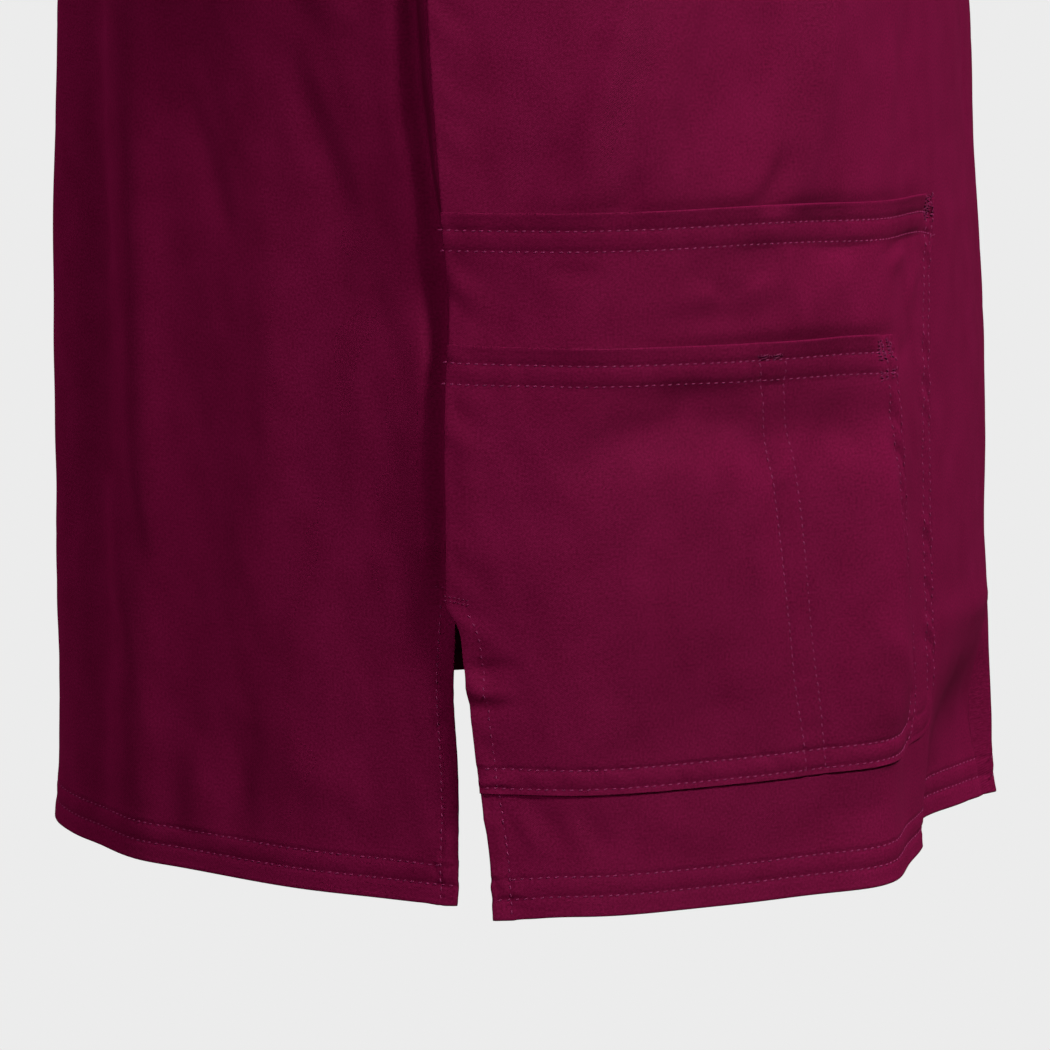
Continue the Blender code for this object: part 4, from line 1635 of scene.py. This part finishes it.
def lie_of(surface: SurfaceMap, here: Array, run: Array) -> tuple[Array, Array, Array]:
    """Read how places on a cloth's outer face lie.

    Args:
        surface: The face.
        here: The places on the flat cloth.
        run: A direction at each on the flat cloth.

    Returns:
        The places, that direction and the direction out of the cloth.
    """
    aside = joined(-run[..., 1], run[..., 0])
    along, across = (surface(*(here + way * 0.3 * MM).T) - surface(*(here - way * 0.3 * MM).T)
                     for way in (run, aside))
    centre, outward = surface(*here.T), unit(np.cross(along, across))
    return centre, along, outward * np.sign((outward * centre)[:, :2].sum(-1, keepdims=True))


@dataclass
class Sewing:
    """Rows of stitches, each laid on the cloth it is sewn through."""

    stitch: Model
    finish: bpy.types.Material
    shown: float = 0.62
    slant: Pair = (0.19, 0.06)
    unevenness: float = 0.04
    bar_thread: float = 0.42 * MM
    bar_lift: float = 0.22 * MM
    bar_slant: Pair = (0.22, 0.10)
    bar_widths: Pair = (0.85, 1.1)
    bar_unevenness: float = 0.12 * MM
    ring_thread: float = 0.46 * MM
    ring_lift: float = 0.10 * MM
    ring_shown: float = 0.80
    ring_slant: Pair = (0.13, 0.05)
    ring_reach: float = 0.6 * MM
    places: list[Array] = field(default_factory=list)

    def lay(self, centre: Array, along: Array, outward: Array, length: float | Array, width: float,
            tilt: Array) -> None:
        """Lay stitches at given places.

        Args:
            centre: The middle of each stitch.
            along: The direction of each.
            outward: The direction out of the cloth at each.
            length: Their length.
            width: The thread's thickness.
            tilt: How far each turns out of its row.
        """
        along = unit(along - outward * (along * outward).sum(-1, keepdims=True))
        turn = tilt[:, None]
        run = along * np.cos(turn) + np.cross(outward, along) * np.sin(turn)
        points, long = self.stitch[0], np.broadcast_to(length, len(centre))[:, None, None]
        self.places.append(centre[:, None] + run[:, None] * points[None, :, :1] * long
                           + np.cross(outward, run)[:, None] * points[None, :, 1:2] * width
                           + outward[:, None] * points[None, :, 2:] * width)

    def row(self, surface: SurfaceMap, path: Array, seed: int, pitch: float = 2.75 * MM,
            width: float = 0.47 * MM, lift: float = 0.07 * MM) -> None:
        """Sew one row.

        Args:
            surface: The cloth's outer face.
            path: Points of the row on the flat cloth.
            seed: Starts the row's slight unevenness.
            pitch: From one stitch to the next.
            width: The thread's thickness.
            lift: How far the thread stands proud.
        """
        steps = lengths_along(path)
        fine = np.linspace(0.0, steps[-1], max(8, int(steps[-1] / (0.5 * MM))))
        length = lengths_along(surface(*read_line(fine, steps, path).T))
        count = max(1, int(length[-1] / pitch))
        chance = np.random.default_rng(seed)
        places = (np.arange(count) + 0.5) * length[-1] / count
        places = places + chance.normal(0.0, self.unevenness * pitch, count)
        middle, nudge = np.interp(places, length, fine), 1e-4 * steps[-1]
        run = unit(read_line(middle + nudge, steps, path) - read_line(middle - nudge, steps, path))
        centre, along, outward = lie_of(surface, read_line(middle, steps, path), run)
        tilt = self.slant[0] + chance.normal(0.0, self.slant[1], count)
        self.lay(centre + outward * lift, along, outward, self.shown * pitch, width, tilt)

    def bar(self, surface: SurfaceMap, start: Pair, end: Pair, width: float, gap: float, seed: int) -> None:
        """Sew a bartack, a dense zigzag.

        Args:
            surface: The cloth's outer face.
            start: Its start on the flat cloth, in millimetres.
            end: Its end there.
            width: The zigzag's width.
            gap: From one stitch to the next.
            seed: Starts its slight unevenness.
        """
        first, last = np.array(start) * MM, np.array(end) * MM
        long = float(np.linalg.norm(last - first))
        run, count = (last - first) / long, max(4, int(long / gap))
        chance = np.random.default_rng(seed)
        share = (np.arange(count) + 0.5) / count
        here = first + run * (share * long)[:, None] + chance.normal(0.0, self.bar_unevenness, (count, 2))
        centre, along, outward = lie_of(surface, here, np.array([-run[1], run[0]]))
        slant, spread = self.bar_slant
        tilt = np.where(np.arange(count) % 2, slant, -slant) + chance.normal(0.0, spread, count)
        widths = width * chance.uniform(*self.bar_widths, count)
        self.lay(centre + outward * self.bar_lift, along, outward, widths, self.bar_thread, tilt)

    def ring(self, curve: Array, aside: Array, sign: float, seed: int, pitch: float = 2.9 * MM) -> None:
        """Sew along a closed curve.

        Args:
            curve: Points of the curve on the cloth.
            aside: The sideways direction at each.
            sign: The way out of the cloth, 1 or -1.
            seed: Starts the row's slight unevenness.
            pitch: From one stitch to the next.
        """
        closed, sides = (np.concatenate([points, points[:1]]) for points in (curve, aside))
        length = lengths_along(closed)
        count = int(length[-1] / pitch)
        places = (np.arange(count) + 0.5) * length[-1] / count
        ahead = np.minimum(places + self.ring_reach, length[-1])
        behind = np.maximum(places - self.ring_reach, 0)
        along = read_line(ahead, length, closed) - read_line(behind, length, closed)
        outward = unit(np.cross(along, read_line(places, length, sides))) * sign
        tilt = self.ring_slant[0] + np.random.default_rng(seed).normal(0.0, self.ring_slant[1], count)
        centre = read_line(places, length, closed) + outward * self.ring_lift
        self.lay(centre, along, outward, self.ring_shown * pitch, self.ring_thread, tilt)

    def build(self, name: str) -> None:
        """Join the stitches into one piece.

        Args:
            name: The piece's name.
        """
        points = np.concatenate(self.places)
        starts = range(0, points.shape[0] * points.shape[1], points.shape[1])
        faces = [[start + corner for corner in face] for start in starts for face in self.stitch[1]]
        new_piece(name, points.reshape(-1, 3), faces, self.finish)


@dataclass
class GarmentSewing:
    """Where the garment is sewn: hems, vents, pockets, sleeves and neckband."""

    form: TorsoForm
    body: BodyRelief
    panels: dict[Facing, BodyPanel]
    stitch: Model
    thread: bpy.types.Material
    # A darker copy of the thread finish: painted shade of the bartacks' dense stitches.
    bar_thread: bpy.types.Material
    covered_below: float = 54.0 * MM
    pen_top: float = 178.5 * MM
    pocket_side: float = -37.0 * MM
    pocket_front: float = 0.16
    band_shares: Pair = (0.095, 0.885)

    def hems_and_vents(self) -> None:
        """Sew the two rows of each panel's hem and the rows beside its vents."""
        body = self.body
        for facing, panel in self.panels.items():
            sewing = Sewing(self.stitch, self.thread)
            for side in Side:
                surface = panel.surface(side)
                for number, (row, inset) in enumerate(zip(body.hem_rows, (0.9 * MM, body.vent_row))):
                    start = float(panel.start_arc(np.array(row))) - facing.value * inset
                    arcs = np.linspace(start, float(self.form.centre(facing, row)), 200)
                    sewing.row(surface, joined(arcs, row), 100 + number)
                rise = np.linspace(0.8 * MM, body.vent_top + 4 * MM, 80)
                edge = body.front_edge(rise) if facing is Facing.FRONT else body.back_edge(rise)
                sewing.row(surface, joined(edge - facing.value * body.vent_row, rise), 110)
            sewing.build(f"stitching_{facing.name.lower()}")

    def pocket_rows(self, pockets: Sequence[PatchPocket]) -> None:
        """Sew both pockets' hems, edges and the pen division.

        Args:
            pockets: The large pocket and the small one.
        """
        sewing = Sewing(self.stitch, self.thread)
        for place, pocket in enumerate(pockets):
            end = float(line_arc(pocket.front_line, pocket.top(np.array(self.pocket_front)))) - 1.2 * MM
            arcs = np.linspace(self.pocket_side, end, 200)
            for number, row in enumerate(pocket.top_rows):
                sewing.row(pocket.surface, joined(arcs, pocket.top(arcs) - row), 120 + number + 10 * place)
            for number, row in enumerate(pocket.edge_rows):
                sewing.row(pocket.surface, self.edge_path(pocket, row), 140 + number + 10 * place)
            for number, line in enumerate(pocket.pen_lines):
                heights = np.linspace(pocket.bottom + 1.0 * MM, self.pen_top, 120)
                sewing.row(pocket.surface, joined(line_arc(line, heights), heights), 160 + number)
        outer = pockets[-1]
        rise = np.linspace(outer.bottom + 1.4 * MM, self.body.vent_top + 3 * MM, 80)
        sewing.row(outer.surface, joined(self.body.front_edge(rise) + self.body.vent_row, rise), 170)
        sewing.build("stitching_pockets")

    def edge_path(self, pocket: PatchPocket, inset: float) -> Array:
        """Lead a row down a pocket's front edge, and round its corner where no pocket covers it.

        Args:
            pocket: The pocket.
            inset: The row's distance from the edge.

        Returns:
            Points of the row on the flat cloth.
        """
        corner, covered = pocket.bottom + pocket.corner, pocket.under is None
        top = float(pocket.top(np.array(self.pocket_front))) - 1.0 * MM
        heights = np.linspace(top, self.covered_below if covered else corner, 120)
        side = joined(line_arc(pocket.front_line, heights) - inset, heights)
        if covered:
            return side
        radius, turns = pocket.corner - inset, np.linspace(0.0, QUARTER, 24)[1:]
        middle = float(line_arc(pocket.front_line, corner)) - pocket.corner
        end = float(self.body.front_edge(np.array(pocket.bottom))) + 0.8 * MM
        return np.concatenate([side, joined(middle + radius * np.cos(turns), corner - radius * np.sin(turns)),
                               joined(np.linspace(middle, end, 160)[1:], pocket.bottom + inset)])

    def bars(self, pockets: Sequence[PatchPocket]) -> None:
        """Sew the bartacks at the pockets' corners, the pen division and the vents' tops.

        Args:
            pockets: The large pocket and the small one.
        """
        # The darker bar thread paints the shade that falls between the dense bartack stitches.
        sewing = Sewing(self.stitch, self.bar_thread)
        large, small = (pocket.surface for pocket in pockets)
        for number, arc in enumerate((172.6, 176.6, 180.6)):
            sewing.bar(large, (arc, 220.6), (arc - 0.6, 213.2), 3.4 * MM, 0.62 * MM, 201 + number)
        for number, arc in enumerate((117.4, 121.6, 125.8)):
            sewing.bar(small, (arc, 180.2), (arc + 0.6, 173.4), 3.6 * MM, 0.62 * MM, 211 + number)
            sewing.bar(small, (arc + 1.4, 170.0), (arc + 1.6, 166.6), 3.0 * MM, 0.9 * MM, 221 + number)
        sewing.bar(small, (66.8, 180.2), (76.6, 179.9), 1.1 * MM, 0.9 * MM, 203)
        for row in (180.5, 179.6):
            path = np.array([[66.6, row], [76.8, row - 0.3]]) * MM
            sewing.row(small, path, 204, 5.0 * MM, 0.5 * MM, 0.3 * MM)
        for side in Side:
            front = small if side is Side.RIGHT else self.panels[Facing.FRONT].surface(side)
            for row in (104.4, 102.9):
                path = np.array([[-35.8, row], [-27.4, row - 1.2]]) * MM
                sewing.row(front, path, 205, 1.5 * MM, 0.42 * MM, 0.2 * MM)
            path = np.array([[-37.6, 104.8], [-42.6, 105.6]]) * MM
            sewing.row(self.panels[Facing.BACK].surface(side), path, 206, 1.6 * MM, 0.42 * MM, 0.2 * MM)
        sewing.build("bartacks")

    def sleeve_rows(self, sleeves: Sequence[Sleeve]) -> None:
        """Sew the sleeves' hems.

        Args:
            sleeves: The two sleeves.
        """
        sewing = Sewing(self.stitch, self.thread)
        turns = np.linspace(0.02, TURN - 0.02, 400)
        for sleeve in sleeves:
            for number, row in enumerate(sleeve.hem_rows):
                drop = 1.0 - row / sleeve.length_at(turns)
                curve = sleeve.surface(turns, drop)
                aside = sleeve.surface(turns, drop + 0.01) - curve
                sewing.ring(curve, aside, sleeve.side.value, 210 + number)
        sewing.build("stitching_sleeves")

    def neck_rows(self, band: Neckband) -> None:
        """Sew both edges of the neckband.

        Args:
            band: The neckband.
        """
        sewing = Sewing(self.stitch, self.thread)
        count = len(band.loops()[0])
        loop = np.linspace(0.0, count - 1e-6, count * 6)
        for number, share in enumerate(self.band_shares):
            curve, inner = (band.surface(loop, np.full(len(loop), place)) for place in (share, share + 0.03))
            sewing.ring(curve, inner - curve, -1.0, 220 + number)
        sewing.build("stitching_neckband")


# --- studio


class Lamp(NamedTuple):
    """A soft area light: where it stands round the garment, its size and its strength."""

    name: str
    azimuth: float
    elevation: float
    size: float
    power: float
    gloss: bool = False


@dataclass
class Studio:
    """The pale surroundings, the lights and the camera."""

    target: Triple = (-0.05, -0.02, -0.50)
    camera_at: Triple = (-1.9385, -0.3675, -0.2634)
    look: Triple = (0.9652, 0.1876, -0.1822)
    lens: float = 192.95
    floor_height: float = -1.5
    reach: float = 24.0
    ambient: float = 0.04
    lamp_distance: float = 3.0
    lamps: tuple[Lamp, ...] = (
        Lamp("key", 34.0, 42.0, 0.6, 84.0),
        Lamp("middle", -42.0, 36.0, 0.6, 86.0, True),
        Lamp("side", -106.0, 16.0, 0.8, 38.0),
        Lamp("back_rim", 144.0, 12.0, 1.0, 72.0),
    )

    def surroundings(self) -> None:
        """Make the floor and the backdrop, both plain, pale and without shadow."""
        finish = BackdropFinish().material()
        bpy.ops.object.select_all(action="DESELECT")
        bpy.ops.mesh.primitive_circle_add(vertices=64, radius=self.reach, fill_type="NGON",
                                          location=(0.0, 0.0, self.floor_height))
        floor = bpy.context.active_object
        bpy.ops.object.select_all(action="DESELECT")
        bpy.ops.mesh.primitive_uv_sphere_add(segments=48, ring_count=24, radius=self.reach)
        for name, item in (("floor", floor), ("backdrop", bpy.context.active_object)):
            item.name = name
            item.data.materials.append(finish)
            item.visible_diffuse = item.visible_glossy = item.visible_shadow = False

    def stand(self, name: str, data: bpy.types.ID, place: Sequence[float], look: Vector) -> bpy.types.Object:
        """Stand a lamp or a camera in the scene.

        Args:
            name: Its name.
            data: Its settings.
            place: Where it stands.
            look: The direction that it faces.

        Returns:
            The new object.
        """
        item = bpy.data.objects.new(name, data)
        item.location = place
        item.rotation_mode = "QUATERNION"
        item.rotation_quaternion = look.to_track_quat("-Z", "Y")
        bpy.context.scene.collection.objects.link(item)
        return item

    def light(self) -> None:
        """Hang the soft lights round the garment."""
        world = bpy.data.worlds.new("studio")
        world.use_nodes = True
        sky = world.node_tree.nodes["Background"]
        sky.inputs["Color"].default_value = (1.0, 1.0, 1.0, 1.0)
        sky.inputs["Strength"].default_value = self.ambient
        bpy.context.scene.world = world
        for lamp in self.lamps:
            turn, rise = math.radians(lamp.azimuth), math.radians(lamp.elevation)
            back = Vector((math.sin(turn) * math.cos(rise), -math.cos(turn) * math.cos(rise), math.sin(rise)))
            data = bpy.data.lights.new(lamp.name, "AREA")
            data.shape, data.size, data.energy = "DISK", lamp.size, lamp.power
            place = Vector(self.target) + back * self.lamp_distance
            self.stand(lamp.name, data, place, -back).visible_glossy = lamp.gloss

    def camera(self) -> None:
        """Stand the camera at the wearer's right hand, level with the pocket."""
        data = bpy.data.cameras.new("camera")
        data.lens, data.sensor_width = self.lens, 36.0
        data.clip_start, data.clip_end = 0.05, 100.0
        bpy.context.scene.camera = self.stand("camera", data, self.camera_at, Vector(self.look))
        bpy.context.scene.view_settings.view_transform = "Standard"


# --- the whole garment


PEN_LEFT = (Line(38, 88.4), Line(53, 86.8), Line(71, 83.9), Line(81, 82.8), Line(141, 75.1),
            Line(154, 73.3), Line(165, 71.6), Line(178, 68.2), Line(200, 66.0))
PEN_RIGHT = (Line(38, 95.4), Line(61, 93.3), Line(77, 91.3), Line(146, 84.0), Line(159, 81.5),
             Line(178, 78.5), Line(200, 76.0))


def make_pockets(form: TorsoForm, body: BodyRelief, cloth: bpy.types.Material) -> list[PatchPocket]:
    """Make the large pocket and the small one on it.

    Args:
        form: The torso's form.
        body: The relief of the panel under them.
        cloth: Their finish.

    Returns:
        The two pockets.
    """
    large = PatchPocket(
        form, body, "pocket_large", cloth, POCKET_LARGE_FRONT,
        ((-40, 228.3), (72, 228.3), (134, 223.9), (171, 221.5), (187, 218.2)), LARGE_POCKET_CREASES,
        spaced((0, 1.6), (190, 1.1), (199, 0.9), (202, 0.55), (208, 1.0), (210, 0.5), (213, 1)),
        (0.235, 0.215), bag=0.9 * MM, edge_pucker=Pucker(0.22 * MM, 10 * MM, 6 * MM, 0.5, 33))
    small = PatchPocket(
        form, body, "pocket_small", cloth, POCKET_SMALL_FRONT,
        ((-41, 185.5), (40, 185.5), (80, 183.8), (112, 182.3), (132, 180.0)), SMALL_POCKET_CREASES,
        spaced((0, 1.8), (100, 0.85), (130, 1.7), (176, 1.0), (181, 0.55), (185, 1.1), (188.6, 0.5),
               (192, 1)),
        (0.215, 0.170), under=large, pen_lines=(PEN_LEFT, PEN_RIGHT), gape=(0.9 * MM, 112 * MM, 22 * MM))
    return [large, small]


def main() -> None:
    """Make the garment piece by piece, then the studio."""
    logging.basicConfig(level=logging.INFO, format="%(name)s %(message)s")
    cloth, thread = TwillFinish().material(), ThreadFinish().material()
    form = TorsoForm()
    body = BodyRelief(form)
    studio = Studio()
    studio.camera()
    panels = {facing: BodyPanel(form, body, facing, cloth) for facing in Facing}
    sleeves = [Sleeve(form, body, side, cloth) for side in Side]
    band = Neckband(panels, body, cloth)
    pockets = make_pockets(form, body, cloth)
    for part in (*panels.values(), *sleeves, band, *pockets):
        part.build()
    # The bartacks' thread is a darker copy of the same thread: painted shade of their dense stitches.
    bar_thread = ThreadFinish("thread_wine_bars_painted_shade", (0.118, 0.006, 0.040)).material()
    sewing = GarmentSewing(form, body, panels, ThreadStitch().model(), thread, bar_thread)
    sewing.hems_and_vents()
    sewing.pocket_rows(pockets)
    sewing.bars(pockets)
    sewing.sleeve_rows(sleeves)
    sewing.neck_rows(band)
    studio.surroundings()
    studio.light()


if __name__ == "__main__":
    main()
